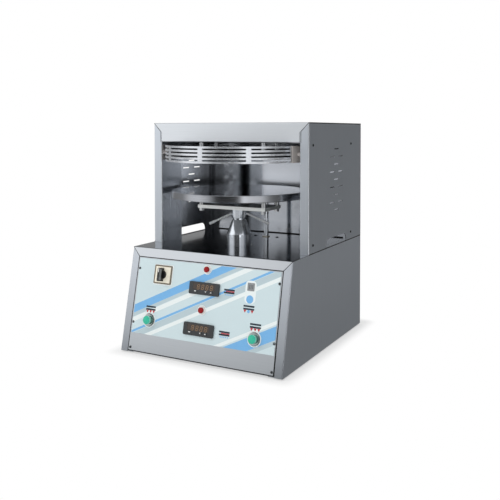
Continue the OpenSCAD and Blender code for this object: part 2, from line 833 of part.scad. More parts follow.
module side_screw_holes() {
  for (y = side_screw_y, z = side_screw_z)
    cabinet() translate([half_w, y, z]) rotate([0, 90, 0]) screw_hole(5 * sheet_t);
}

// Right-hand hood side; the left one is its mirror image
module hood_side() {
  difference() {
    cabinet() translate([0, 0, base_h]) linear_extrude(hood_h - sheet_t) folded_sheet([
      [hood_inner_x, hood_setback + hood_return_d], [hood_inner_x, hood_setback], [half_w, hood_setback],
      [half_w, body_d]
    ], sheet_t, fold_r);
    cabinet() box([hood_inner_x - 1, half_w - sheet_t - eps], [hood_setback + fold_r, body_d],
      [top_z - hood_flange_w - fold_r, top_z]);
    cabinet() translate([0, hood_setback + fold_r + 1, 0]) outward() linear_extrude(4 * fold_r) polygon([
      [hood_inner_x - 6, top_z - hood_flange_w - 6 - seam], [half_w + 6, top_z + 6 - seam],
      [hood_inner_x - 6, top_z + 6 - seam]
    ]);
    side_vents();
    side_cutout();
    side_screw_holes();
  }
}

module hood_right_side() {
  color("darkgray") union() {
    hood_side();
    hood_rear_hem();
  }
}

module hood_left_side() {
  color("darkgray") mirror([1, 0, 0]) union() {
    hood_side();
    hood_rear_hem();
  }
}

// Flange behind the back panel, for its screws
module hood_rear_hem() {
  difference() {
    cabinet() box([half_w - sheet_t - hem_w, half_w - sheet_t / 2], [body_d - 2 * sheet_t, body_d - sheet_t],
      [base_h, top_z - rear_fold_h - sheet_t]);
    back_screw_holes();
  }
}

module hood_top_cover() {
  color("lightgray") difference() {
    cabinet() across(-half_w, half_w) folded_sheet([
      [body_d, top_z - rear_fold_h], [body_d, top_z], [hood_setback, top_z], [hood_setback, header_z],
      [hood_setback + header_lip_d, header_z]
    ], sheet_t, fold_r);
    both_sides() cabinet() translate([0, hood_setback + header_lip_d + 1, 0]) outward()
      linear_extrude(header_lip_d + 6) polygon([
        [hood_inner_x - seam, header_z - 6], [hood_inner_x - seam, top_z - hood_flange_w],
        [half_w - sheet_t, top_z - sheet_t], [half_w + 6, top_z - sheet_t], [half_w + 6, header_z - 6]
      ]);
    both_sides() cabinet() box([half_w - sheet_t - seam, half_w + 1], [body_d - rear_fold_h, body_d + 1],
      [top_z - rear_fold_h - 1, top_z - sheet_t]);
  }
}

module hood_inner_back() {
  color("lightgray") difference() {
    cabinet() union() {
      translate([0, 0, base_h]) linear_extrude(header_z - base_h - 1) folded_sheet([
        [back_x, back_wall_y - hem_w], [back_x, back_wall_y + sheet_t], [-back_x, back_wall_y + sheet_t],
        [-back_x, back_wall_y - hem_w]
      ], sheet_t, fold_r);
    }
    both_sides() side_screw_holes();
  }
}

module hood_front_posts() {
  color("darkgray") both_sides() difference() {
    cabinet() translate([0, 0, base_h]) linear_extrude(header_z - base_h - 1) folded_sheet([
      [post_in_x, post_y], [post_x, post_y], [post_x, post_y + post_d], [post_in_x, post_y + post_d]
    ], sheet_t, fold_r);
    side_screw_holes();
  }
}

module cabinet_screws() {
  shank = 3 * sheet_t;
  color("silver") union() {
    for (x = [-panel_screw_x, panel_screw_x], s = panel_screw_s)
      on_panel([x, s]) outward() screw(shank);
    both_sides() for (y = side_screw_y, z = side_screw_z)
      cabinet() translate([half_w, y, z]) rotate([0, 90, 0]) screw(shank);
    cabinet() for (p = back_screw_places)
      translate([p[0], body_d, p[1]]) inward() screw(shank);
    for (sx = [-1, 1])
      cabinet() translate([sx * bush_screw_x, rod_y, base_h]) screw(shank + sheet_t);
  }
}

// Press frame

module cheek_outline() {
  corner = 8;
  difference() {
    polygon([
      [axis_y - web_front, tray_z + frame_plate_t], [upright_y1, tray_z + frame_plate_t], [upright_y1, arm_top_z],
      [axis_y - bolt_y / 2 - bolt_edge, arm_top_z], [axis_y - bolt_y / 2 - bolt_edge, arm_z],
      [upright_y0 - corner, arm_z], [upright_y0 - corner, arm_z - corner], [upright_y0, arm_z - corner],
      [upright_y0, web_top_z], [axis_y - web_front, web_top_z]
    ]);
    translate([upright_y0 - corner, arm_z - corner]) circle(corner);
  }
}

module frame_cheeks() {
  color("slategray") difference() {
    cabinet() for (sx = [-1, 1])
      across(sx * cheek_x - cheek_t / 2, sx * cheek_x + cheek_t / 2) cheek_outline();
    cabinet() translate([0, pinion_y, pinion_h]) rotate([0, 90, 0])
      cylinder(r = shaft_bush_r, h = far, center = true);
  }
}

module frame_top_plate() {
  edge = bolt_edge + 4;
  color("slategray") difference() {
    on_axis() box([-bolt_x / 2 - edge, bolt_x / 2 + edge], [-bolt_y / 2 - edge, bolt_y / 2 + edge],
      [top_plate_z, arm_z]);
    on_axis() for (p = bolt_places) translate([p[0], p[1], top_plate_z - 1])
      cylinder(r = stud_r + 0.1, h = frame_plate_t + 2);
  }
}

module frame_guide_plate() {
  color("slategray") difference() {
    on_axis() box([-cheek_in, cheek_in], [-web_front, web_front], [guide_z, guide_z + frame_plate_t]);
    on_axis(guide_z - 1) cylinder(r = sleeve_r, h = frame_plate_t + 2);
  }
}

module frame_foot_plate() {
  edge = 6;
  color("slategray") cabinet() box([-cheek_out - edge, gearbox_end_x + edge],
    [axis_y - web_front - edge, upright_y1], [tray_z, tray_z + frame_plate_t]);
}

module column_sleeve() {
  color("darkkhaki") on_axis() difference() {
    union() {
      translate([0, 0, sleeve_z]) cylinder(r = sleeve_r, h = sleeve_top_z - sleeve_z);
      translate([0, 0, guide_z + frame_plate_t]) cylinder(r = sleeve_r + sleeve_flange, h = sleeve_flange_t);
    }
    translate([0, 0, sleeve_z - 1]) cylinder(r = column_r + run_fit, h = far);
  }
}

module rod_bush() {
  body_r = rod_r + bush_wall;
  under = base_h - sheet_t;
  color("darkkhaki") cabinet() translate([0, rod_y, 0]) difference() {
    union() {
      translate([0, 0, under - bush_l]) cylinder(r = body_r, h = bush_l);
      translate([0, 0, under - bush_flange_t]) linear_extrude(bush_flange_t)
        round_rect(2 * (bush_screw_x + body_r / 2), 2 * body_r, body_r / 2);
      translate([0, 0, under - 1]) cylinder(r = bush_lip_r, h = 1 + 2 * sheet_t);
    }
    translate([0, 0, under - bush_l - 1]) cylinder(r = rod_r + run_fit, h = far);
    for (sx = [-1, 1]) translate([sx * bush_screw_x, 0, base_h]) screw_hole(2 * bush_flange_t);
  }
}

// Plates and heaters

// Turned disc with bevelled edges and a heater pocket in one face, leaving bosses round the bolts
module heated_plate(t, pocket_up) {
  r = plate_d / 2;
  pocket_z = pocket_up ? t - pocket_depth : -1;
  bite_z = pocket_up ? t - stud_bite : -1;
  difference() {
    rotate_extrude($fn = 180) polygon([
      [0, 0], [r - plate_bevel, 0], [r, plate_bevel], [r, t - plate_bevel], [r - plate_bevel, t], [0, t]
    ]);
    difference() {
      translate([0, 0, pocket_z]) cylinder(d = pocket_d, h = pocket_depth + 1);
      for (p = bolt_places) translate([p[0], p[1], pocket_z - 1]) cylinder(r = boss_r + 3, h = pocket_depth + 3);
    }
    for (p = bolt_places) translate([p[0], p[1], bite_z]) cylinder(r = stud_r + 0.1, h = stud_bite + 1);
  }
}

// Flat ring heater inside and outside the bolt circle, joined by two bars
module heater() {
  bolt_circle_r = norm([bolt_x, bolt_y]) / 2;
  clear = boss_r + 6;
  inner_r = bolt_circle_r - clear;
  outer_r = bolt_circle_r + clear;
  union() {
    tube(inner_r, heater_hole_r, heater_t);
    tube(pocket_d / 2 - 4, outer_r, heater_t);
    for (sy = [-1, 1]) translate([-8, sy > 0 ? inner_r - 4 : -outer_r - 4, 0])
      cube([16, outer_r - inner_r + 8, heater_t]);
  }
}

module pocket_cover() {
  difference() {
    cylinder(r = pocket_d / 2 + cover_lap, h = cover_t, $fn = 120);
    for (p = bolt_places) translate([p[0], p[1], -1]) cylinder(r = boss_r + 0.2, h = cover_t + 2);
  }
}

module upper_plate() {
  color("gainsboro") on_axis(upper_z) heated_plate(upper_plate_t, true);
}

module upper_heater() {
  color("dimgray") on_axis(upper_top_z - pocket_depth) heater();
}

module upper_cover() {
  color("darkgray") on_axis(upper_top_z) pocket_cover();
}

module hanger_studs() {
  color("silver") for (p = bolt_places) on_axis() translate([p[0], p[1], 0]) union() {
    translate([0, 0, upper_top_z - stud_bite]) cylinder(r = stud_r, h = arm_z + nut_h + 3 - upper_top_z + stud_bite);
    translate([0, 0, upper_top_z]) cylinder(r = boss_r, h = top_plate_z - upper_top_z);
    translate([0, 0, arm_z]) cylinder(r = 1.7 * stud_r, h = nut_h, $fn = 6);
  }
}

module lower_plate() {
  color("gainsboro") on_axis(lower_bottom_z) heated_plate(lower_plate_t, false);
}

module lower_heater() {
  color("dimgray") on_axis(lower_bottom_z + pocket_depth - heater_t) heater();
}

module lower_cover() {
  color("darkgray") difference() {
    on_axis(lower_bottom_z - cover_t) pocket_cover();
    cabinet() translate([0, rod_y, lower_bottom_z]) cylinder(r = 2 * rod_r + 0.5, h = 4 * cover_t, center = true);
  }
}

module plate_bracket() {
  color("lightgray") on_axis() difference() {
    box([-bolt_x / 2 - bolt_edge, bolt_x / 2 + bolt_edge], [-bolt_y / 2 - bolt_edge, bolt_y / 2 + bolt_edge],
      [bracket_z, bracket_top_z]);
    for (p = bolt_places) translate([p[0], p[1], bracket_z - 1]) cylinder(r = stud_r + 0.1, h = bracket_t + 2);
    translate([0, 0, bracket_z - 1]) cylinder(r = stem_r - 2 + run_fit, h = bracket_t + 2);
  }
}

module bracket_bolts() {
  color("silver") for (p = bolt_places) on_axis() translate([p[0], p[1], 0]) union() {
    translate([0, 0, bracket_z - nut_h]) cylinder(r = 1.6 * stud_r, h = nut_h, $fn = 6);
    translate([0, 0, bracket_z - 1]) cylinder(r = stud_r, h = bracket_t + spacer_h + stud_bite);
    translate([0, 0, bracket_top_z]) cylinder(r = boss_r, h = spacer_h);
  }
}

module guide_rod() {
  color("silver") cabinet() translate([0, rod_y, 0]) union() {
    translate([0, 0, base_h - rod_below]) cylinder(r = rod_r, h = rod_below + lower_bottom_z - base_h);
    translate([0, 0, lower_bottom_z - 12]) cylinder(r = 2 * rod_r, h = 12);
  }
}

// Column and collar

// Gap between two rack teeth: y out of the column from the pitch line, z along it
module rack_gap() {
  half = rack_pitch / 4 + backlash / 2;
  tip = gear_m + 1;
  root = -1.25 * gear_m;
  flank = tan(pressure_angle);
  polygon([
    [tip, half + tip * flank], [root, half + root * flank], [root, -half - root * flank], [tip, -half - tip * flank]
  ]);
}

module column_rack_cuts() {
  flat_y = rack_pitch_r + gear_m;
  box([-column_r, column_r], [flat_y, 2 * column_r], [column_foot - 1, rack_flat_z]);
  for (i = [-rack_gaps_down : rack_gaps_up])
    translate([0, rack_pitch_r, pinion_h + i * rack_pitch]) across(-column_r, column_r) rack_gap();
}

module column() {
  color("silver") on_axis() difference() {
    rotate_extrude($fn = 120) polygon([
      [0, column_foot], [column_r - 1.5, column_foot], [column_r, column_foot + 1.5], [column_r, shoulder_z],
      [neck_r, column_top_z - 4], [neck_r - 2, column_top_z - 3], [neck_r - 2, column_top_z], [0, column_top_z]
    ]);
    translate([0, 0, column_top_z - stem_in - 2]) cylinder(r = stem_r + run_fit, h = stem_in + 3);
    column_rack_cuts();
  }
}

module lever_axis() {
  on_axis(lever_z) for (side = [0, 1])
    rotate([0, 0, lever_turn + side * 180]) translate([collar_r0 - lever_bite, 0, 0])
      rotate([0, 90 + lever_drop, 0]) children();
}

module adjust_collar() {
  chamfer = 1;
  color("gainsboro") difference() {
    on_axis() rotate_extrude($fn = 120) polygon([
      [stem_r + run_fit, collar_z], [collar_r0 - chamfer, collar_z], [collar_r0, collar_z + chamfer],
      [collar_r1, collar_z + collar_h - chamfer], [collar_r1 - chamfer, collar_z + collar_h],
      [stem_r + run_fit, collar_z + collar_h]
    ]);
    lever_axis() cylinder(r = lever_r, h = 2 * collar_r1);
  }
}

module collar_levers() {
  l = (lever_reach - collar_r0 + lever_bite) / cos(lever_drop);
  color("silver") lever_axis() rotate_extrude() polygon([
    [0, face_gap], [lever_r, face_gap], [lever_r, l - lever_tip_l - lever_r], [lever_tip_r, l - lever_tip_l],
    [lever_tip_r, l - 1], [lever_tip_r - 1, l], [0, l]
  ]);
}

module plate_stem() {
  color("silver") on_axis() union() {
    translate([0, 0, column_top_z - stem_in]) cylinder(r = stem_r, h = bracket_z - column_top_z + stem_in);
    translate([0, 0, bracket_z - 1]) cylinder(r = stem_r - 2, h = bracket_t + 1);
  }
}

// Guard

module guard_ring() {
  r = ring_d / 2;
  step = 360 / ring_posts;
  post_angle = 2 * asin(ring_post_w / ring_d);
  level = ring_bar_h + ring_slot_h;
  color("gainsboro") on_axis(ring_z) difference() {
    rotate_extrude($fn = 180) translate([r - ring_t, 0]) square([ring_t, ring_h]);
    for (i = [0 : ring_posts - 1], k = [0 : ring_bars - 2])
      rotate([0, 0, -90 + i * step + post_angle / 2]) translate([0, 0, ring_bar_h + k * level])
        rotate_extrude(angle = step - post_angle, $fn = 180) translate([r - 2 * ring_t, 0])
          square([3 * ring_t, ring_slot_h]);
  }
}

// Plate on the outside of the ring, with a standoff to the hood's return
module guard_brackets() {
  r = ring_d / 2;
  y = -r * cos(guard_turn);
  color("rosybrown") both_sides() on_axis(ring_z) union() {
    rotate([0, 0, guard_turn - 90]) box([r, r + guard_t], [-guard_w / 2, guard_w / 2], [0, ring_h]);
    translate([r * sin(guard_turn) + 1, y, ring_h / 2]) rotate([0, 90, 0])
      cylinder(r = standoff_r, h = hood_inner_x - r * sin(guard_turn) - 1);
  }
}

// Drive

// Involute of a circle, in radians, at a pressure angle in degrees
function involute(a) = tan(a) - a * PI / 180;

// Half the angle, in degrees, that a tooth covers at radius r
function tooth_half(r) =
  ((rack_pitch / 2 - backlash) / (2 * pitch_r) + involute(pressure_angle) - involute(acos(base_circle_r / r)))
  * 180 / PI;

// Outline of the pinion, with a tooth on its own x axis
module pinion_outline() {
  steps = 5;
  flank = [for (k = [0 : steps]) base_circle_r + eps + (tip_r - base_circle_r - eps) * k / steps];
  foot = tooth_half(base_circle_r + eps);
  polygon([for (i = [0 : gear_z - 1]) let (mid = i * 360 / gear_z) each concat(
    [at_angle(root_r, mid - foot)],
    [for (r = flank) at_angle(r, mid - tooth_half(r))],
    [for (k = [steps : -1 : 0]) at_angle(flank[k], mid + tooth_half(flank[k]))],
    [at_angle(root_r, mid + foot)]
  )]);
}

module pinion_shaft() {
  color("gray") cabinet() translate([0, pinion_y, pinion_h]) union() {
    rotate([0, 90, 0]) translate([0, 0, -cheek_out + shaft_inset])
      cylinder(r = shaft_r, h = cheek_out - shaft_inset + gearbox_end_x - gearbox_wall);
    rotate([180, 0, 0]) across(-pinion_w / 2, pinion_w / 2) pinion_outline();
  }
}

module shaft_bushes() {
  color("goldenrod") cabinet() for (sx = [-1, 1])
    translate([sx * cheek_x, pinion_y, pinion_h]) rotate([0, 90, 0]) translate([0, 0, -cheek_t / 2])
      tube(shaft_bush_r, shaft_r + run_fit, cheek_t);
}

module worm_gearbox() {
  flange_l = 10;
  color("slategray") difference() {
    cabinet() union() {
      translate([gearbox_x, pinion_y, pinion_h]) rotate([0, 90, 0]) cylinder(r = gearbox_r, h = gearbox_w);
      translate([worm_x, pinion_y - gearbox_r - 4, worm_z]) inward()
        cylinder(r = worm_r, h = worm_y1 - pinion_y + gearbox_r + 4);
      translate([worm_x, worm_y1 - flange_l, worm_z]) inward() cylinder(r = motor_r - 2, h = flange_l);
      box([gearbox_x, gearbox_end_x], [pinion_y - gearbox_r, pinion_y + gearbox_r],
        [tray_z + frame_plate_t, pinion_h - gearbox_r / 2]);
    }
    cabinet() translate([0, pinion_y, pinion_h]) rotate([0, 90, 0])
      cylinder(r = shaft_r + run_fit, h = far, center = true);
  }
}

module drive_motor() {
  fins = 12;
  cowl_l = 24;
  color("steelblue") cabinet() translate([worm_x, worm_y1, worm_z]) inward() union() {
    cylinder(r = motor_r - 3, h = motor_l);
    translate([0, 0, motor_l - cowl_l]) cylinder(r = motor_r, h = cowl_l);
    for (i = [0 : fins - 1]) rotate([0, 0, i * 360 / fins])
      translate([motor_r - 5, -1.2, 8]) cube([4.5, 2.4, motor_l - cowl_l - 4]);
  }
}

// Contactors and terminal block on the left cheek
module rail_devices() {
  step = device_step + 1;
  color("dimgray") cabinet() for (i = [0 : 2])
    translate([-cheek_out - device_d, pinion_y + tip_r + i * (device_w + device_gap), pinion_h - 2 * device_h / 3])
      difference() {
        cube([device_d, device_w, device_h]);
        for (z = [-1, device_h - device_step]) translate([-1, -1, z]) cube([step, device_w + 2, step]);
      }
}

module cable_gland() {
  nut_t = 6;
  hex_l = 7;
  thread_r = gland_bore_r + 2;
  color("dimgray") cabinet() translate([gland_x, body_d, gland_z]) inward() difference() {
    union() {
      cylinder(r = gland_r, h = hex_l, $fn = 6);
      rotate_extrude() polygon([
        [0, hex_l - 1], [gland_r * 0.84, hex_l - 1], [gland_r * 0.84, gland_out - 5], [gland_bore_r + 1, gland_out],
        [0, gland_out]
      ]);
      translate([0, 0, -sheet_t - nut_t - 2]) cylinder(r = thread_r, h = sheet_t + nut_t + 3);
      translate([0, 0, -sheet_t - nut_t]) cylinder(r = gland_r, h = nut_t, $fn = 6);
    }
    translate([0, 0, -far / 2]) cylinder(r = gland_bore_r, h = far);
  }
}

// Panel devices

module switch_frame() {
  recess = 1.2;
  color("darkolivegreen") on_panel([switch_x, switch_s]) difference() {
    translate([0, -overlay_t, 0]) round_block(switch_w, switch_h, 2.5, switch_out - overlay_t, 0);
    translate([0, -switch_out + recess - 20, 0]) round_block(switch_face_w + 0.2, switch_face_h + 0.2, 1, 0, 20);
    outward() cylinder(r = switch_hole_r - 1, h = far, center = true);
  }
}

module switch_face() {
  recess = 1.2;
  color("cornsilk") on_panel([switch_x, switch_s]) difference() {
    translate([0, -switch_out + recess, 0]) round_block(switch_face_w, switch_face_h, 1, recess - 0.3, 0);
    outward() cylinder(r = knob_stem_r + 1, h = far, center = true);
  }
}

module switch_knob() {
  face_out = switch_out - 0.3;
  disc_h = 4;
  color("black") on_panel([switch_x, switch_s]) union() {
    outward() translate([0, 0, face_out + 0.4]) rotate_extrude() polygon([
      [0, 0], [knob_r, 0], [knob_r, disc_h - 1], [knob_r - 1, disc_h], [0, disc_h]
    ]);
    translate([0, -face_out - 0.4, 0]) round_block(grip_w, grip_l, grip_w / 2 - 0.2, knob_out, 0);
    outward() translate([0, 0, -knob_stem_in]) cylinder(r = knob_stem_r, h = face_out + knob_stem_in + 1);
  }
}

module contact_blocks() {
  color("dimgray") union() {
    on_panel([switch_x, switch_s]) difference() {
      round_block(switch_block_w, switch_block_w, 3, -sheet_t, sheet_t + switch_block_d);
      outward() translate([0, 0, -sheet_t - knob_stem_in - 2])
        cylinder(r = knob_stem_r + run_fit, h = switch_block_d);
    }
    for (p = button_places) on_panel(p) difference() {
      round_block(button_block_w, button_block_h, 3, -sheet_t, sheet_t + button_block_h);
      outward() translate([0, 0, -barrel_l - 4]) cylinder(r = button_hole_r + device_play, h = 2 * barrel_l);
    }
  }
}

module button_bezels() {
  color("gainsboro") for (p = button_places) on_panel(p) outward() difference() {
    union() {
      translate([0, 0, overlay_t]) rotate_extrude() polygon([
        [0, 0], [bezel_r, 0], [bezel_r, bezel_out - 3], [bezel_r - 1.5, bezel_out - overlay_t],
        [0, bezel_out - overlay_t]
      ]);
      translate([0, 0, -barrel_l]) cylinder(r = button_hole_r, h = barrel_l + 1);
    }
    translate([0, 0, 1]) cylinder(r = button_r + 0.2, h = far);
    translate([0, 0, -far / 2]) cylinder(r = button_hole_r - 2, h = far);
  }
}

module button_cap(place) {
  back = 1 + button_travel + 0.3;
  front = bezel_out + cap_out;
  color("mediumseagreen") on_panel(place) outward() rotate_extrude() polygon([
    [0, -8], [button_hole_r - 2 - run_fit, -8], [button_hole_r - 2 - run_fit, back], [button_r, back],
    [button_r, front - 1], [button_r - 1, front], [0, front + 0.4]
  ]);
}

module left_button() {
  button_cap(button_places[0]);
}

module right_button() {
  button_cap(button_places[1]);
}

module lamp_bezels() {
  bezel_h = 2.6;
  body_l = 24;
  color("white") for (p = lamp_places) on_panel(p) outward() difference() {
    union() {
      translate([0, 0, overlay_t]) rotate_extrude() polygon([
        [0, 0], [lamp_bezel_r, 0], [lamp_bezel_r - 1.2, bezel_h], [0, bezel_h]
      ]);
      translate([0, 0, -body_l]) cylinder(r = lamp_hole_r, h = body_l + 1);
    }
    translate([0, 0, 1]) cylinder(r = lamp_r, h = far);
  }
}

module lamp_lenses() {
  color("firebrick") for (p = lamp_places) on_panel(p) outward() rotate_extrude() polygon([
    [0, 1], [lamp_r - 0.05, 1], [lamp_r - 0.05, lens_out - 1.2], [lamp_r - 0.7, lens_out - 0.4],
    [lamp_r * 0.5, lens_out - 0.1], [0, lens_out]
  ]);
}

module controller_cases() {
  window_depth = 1;
  color("dimgray") for (p = ctrl_places) on_panel(p) difference() {
    union() {
      translate([0, -overlay_t, 0]) round_block(ctrl_w, ctrl_h, ctrl_r, ctrl_out - overlay_t, 0);
      translate([0, -1, 0]) round_block(case_w, case_h, 1, 0, ctrl_case_d + 1);
    }
    translate([0, -ctrl_out - 1, window_rise]) round_block(window_w, window_h, 1, 0, window_depth + 1);
    for (x = key_places) translate([x, -ctrl_out - 1, key_drop])
      round_block(key_w + 2 * key_gap, key_h + 2 * key_gap, 1 + key_gap, 0, key_pocket + 1);
  }
}

module display_windows() {
  color("saddlebrown") for (p = ctrl_places) on_panel(p)
    translate([0, -ctrl_out + 1, window_rise]) round_block(window_w - 0.1, window_h - 0.1, 1, 0.7, 0);
}

module controller_key(place, x) {
  depth = key_pocket - key_travel - 0.3;
  color("gray") on_panel(place) translate([x, -ctrl_out, key_drop]) round_block(key_w, key_h, 1, key_proud, depth);
}

module upper_set_key() {
  controller_key(ctrl_places[0], key_places[0]);
}

module upper_down_key() {
  controller_key(ctrl_places[0], key_places[1]);
}

module upper_up_key() {
  controller_key(ctrl_places[0], key_places[2]);
}

module lower_set_key() {
  controller_key(ctrl_places[1], key_places[0]);
}

module lower_down_key() {
  controller_key(ctrl_places[1], key_places[1]);
}

module lower_up_key() {
  controller_key(ctrl_places[1], key_places[2]);
}

module timer_case() {
  rim = 1.2;
  color("gray") on_panel([timer_x, timer_s]) difference() {
    union() {
      translate([0, -overlay_t, 0]) round_block(timer_w + 2 * rim, timer_w + 2 * rim, 1, 1 - overlay_t, 0);
      round_block(timer_w, timer_w, 1, 0.6, sheet_t + 18);
    }
    translate([0, -4, 0]) round_block(timer_w - 2 * rim, timer_w - 2 * rim, 0.6, 0, 4);
  }
}

rubber_feet();
base_tray();
base_left_side();
base_right_side();
base_deck();
control_panel();
panel_overlay();
hood_left_side();
hood_right_side();
hood_top_cover();
hood_inner_back();
back_panel();
hood_front_posts();
cabinet_screws();
frame_cheeks();
frame_top_plate();
frame_guide_plate();
frame_foot_plate();
column_sleeve();
rod_bush();
upper_plate();
upper_heater();
upper_cover();
hanger_studs();
guard_ring();
guard_brackets();
shaft_bushes();
worm_gearbox();
drive_motor();
rail_devices();
cable_gland();
switch_frame();
switch_face();
contact_blocks();
button_bezels();
lamp_bezels();
lamp_lenses();
controller_cases();
display_windows();
timer_case();
column();
adjust_collar();
collar_levers();
plate_stem();
plate_bracket();
bracket_bolts();
lower_plate();
lower_heater();
lower_cover();
guide_rod();
pinion_shaft();
switch_knob();
left_button();
right_button();
upper_set_key();
upper_down_key();
upper_up_key();
lower_set_key();
lower_down_key();
lower_up_key();
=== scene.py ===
"""Pizza dough press: finishes, printed panel, turned parts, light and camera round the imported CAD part.

Metres, in the part's own frame: +Z up, the control panel faces -Y, the floor is z = 0. Sizes of pieces are
written in mm and multiplied by MM where they meet a mesh or a node.
"""
import math

import bmesh
import bpy
import numpy as np
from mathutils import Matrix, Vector


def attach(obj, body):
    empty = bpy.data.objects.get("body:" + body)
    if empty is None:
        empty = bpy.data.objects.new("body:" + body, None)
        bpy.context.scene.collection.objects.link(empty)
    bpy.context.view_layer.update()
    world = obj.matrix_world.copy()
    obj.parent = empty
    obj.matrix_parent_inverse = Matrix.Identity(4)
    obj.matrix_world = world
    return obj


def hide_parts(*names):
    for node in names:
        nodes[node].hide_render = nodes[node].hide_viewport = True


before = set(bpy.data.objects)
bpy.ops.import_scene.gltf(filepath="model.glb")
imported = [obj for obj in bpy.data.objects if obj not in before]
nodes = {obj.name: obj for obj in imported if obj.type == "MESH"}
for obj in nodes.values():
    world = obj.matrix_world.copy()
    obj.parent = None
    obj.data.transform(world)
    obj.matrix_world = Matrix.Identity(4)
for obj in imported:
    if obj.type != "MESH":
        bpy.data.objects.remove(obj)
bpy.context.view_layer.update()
MM = 0.001

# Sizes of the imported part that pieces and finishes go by, in mm.
HALF_WIDTH = 212.0  # outer faces of both sides
PANEL_RUN, PANEL_RISE = 52.0, 238.0  # how far the panel leans back over its height
PANEL_Y, PANEL_Z = -252.0, 3.0  # the panel's foot, where its slope's zero line is
HOOD_Y, INNER_BACK_Y, BACK_Y = -116.0, 161.0, 230.0  # hood's front, its inner back wall, back panel
DECK_Z, HEADER_Z, TOP_Z = 241.0, 493.0, 540.0  # deck, lower edge of the hood's header, top
PRESS_Y = -57.5  # axis of the plates and the column
FLANGE = 19.7  # folded flange beside the panel and the hood's opening

LEAN = math.atan2(PANEL_RUN, PANEL_RISE)
ACROSS, UP = np.array([1.0, 0.0, 0.0]), np.array([0.0, 0.0, 1.0])
UP_SLOPE = np.array([0.0, math.sin(LEAN), math.cos(LEAN)])
OUT_OF_PANEL = np.array([0.0, -math.cos(LEAN), math.sin(LEAN)])
PRESS_AXIS = np.array([0.0, PRESS_Y * MM, 0.0])


# Shapes

class Plane:
    """Flat face of the machine: a point on it, its directions across and up, and its outward normal."""

    def __init__(self, foot, across, up):
        self.foot, self.across, self.up = (np.asarray(v, float) for v in (foot, across, up))
        self.out = np.cross(self.across, self.up)

    def point(self, x, s, out=0.0):
        """Point x across, s up and out from the face, all in mm."""
        x, s, out = np.broadcast_arrays(*(np.asarray(v, float) for v in (x, s, out)))
        return self.foot + (x[..., None] * self.across + s[..., None] * self.up + out[..., None] * self.out) * MM


PANEL = Plane((0, PANEL_Y * MM, PANEL_Z * MM), ACROSS, UP_SLOPE)
HOOD_FRONT = Plane((0, HOOD_Y * MM, 0), ACROSS, UP)
RIGHT_SIDE = Plane((HALF_WIDTH * MM, 0, 0), (0, 1, 0), UP)
LEFT_SIDE = Plane((-HALF_WIDTH * MM, 0, 0), (0, -1, 0), UP)
INNER_BACK = Plane((0, INNER_BACK_Y * MM, 0), ACROSS, UP)
BACK_PANEL = Plane((0, BACK_Y * MM, 0), -ACROSS, UP)
DECK = Plane((0, 0, DECK_Z * MM), ACROSS, (0, 1, 0))
SIDES = ((RIGHT_SIDE, 1), (LEFT_SIDE, -1))  # each side face, and the way in which +Y runs across it
SHARP = math.radians(35)  # edges over this angle stay sharp
MERGE, SLIVER = 2e-7, 1e-7  # metres below which points merge and faces are dropped
FILM_THICK = 0.03


def quads(ni, nj, first):
    """Corner numbers of the quads that join neighbours on an ni by nj grid of points, closed round j."""
    i, j = np.meshgrid(np.arange(ni - 1), np.arange(nj), indexing="ij")
    i1, j1 = i + 1, (j + 1) % nj
    corners = np.stack([i * nj + j, i1 * nj + j, i1 * nj + j1, i * nj + j1], axis=-1)
    return corners.reshape(-1, 4) + first


def mesh_of(name, grids, material):
    """One mesh of several grids of points [i, j, xyz], each closed round j. Poles and doubles are merged, faces
    with no area dropped, and the rest turned outwards and smoothed."""
    firsts = np.cumsum([0] + [grid.shape[0] * grid.shape[1] for grid in grids])
    faces = [quads(*grid.shape[:2], first) for grid, first in zip(grids, firsts)]
    mesh = bpy.data.meshes.new(name)
    mesh.from_pydata(np.concatenate([grid.reshape(-1, 3) for grid in grids]), [], np.concatenate(faces).tolist())
    work = bmesh.new()
    work.from_mesh(mesh)
    bmesh.ops.remove_doubles(work, verts=work.verts, dist=MERGE)
    bmesh.ops.dissolve_degenerate(work, edges=work.edges, dist=SLIVER)
    bmesh.ops.recalc_face_normals(work, faces=work.faces)
    work.to_mesh(mesh)
    work.free()
    mesh.shade_smooth()
    mesh.set_sharp_from_angle(angle=SHARP)
    mesh.materials.append(material)
    return mesh


def new_object(name, data):
    """Object at the origin, linked to the scene."""
    obj = bpy.data.objects.new(name, data)
    bpy.context.scene.collection.objects.link(obj)
    return obj


def piece(name, grids, material, body, stands_for=()):
    """Closed piece of the part that rides on a body and stands for the nodes that it replaces."""
    obj = new_object(name, mesh_of(name, grids, material))
    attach(obj, body)
    if stands_for:
        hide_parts(*stands_for)


def turned(profile, foot, axis, count):
    """Surface of revolution: the point at radius r and height h (mm) is carried round the axis through foot."""
    side = np.cross(axis, ACROSS)
    side /= np.linalg.norm(side)
    other = np.cross(axis, side)
    turn = np.linspace(0, 2 * np.pi, count, endpoint=False)
    ring = np.cos(turn)[:, None] * side + np.sin(turn)[:, None] * other
    r, h = np.asarray(profile, float).T * MM
    return foot + r[:, None, None] * ring[None] + h[:, None, None] * axis


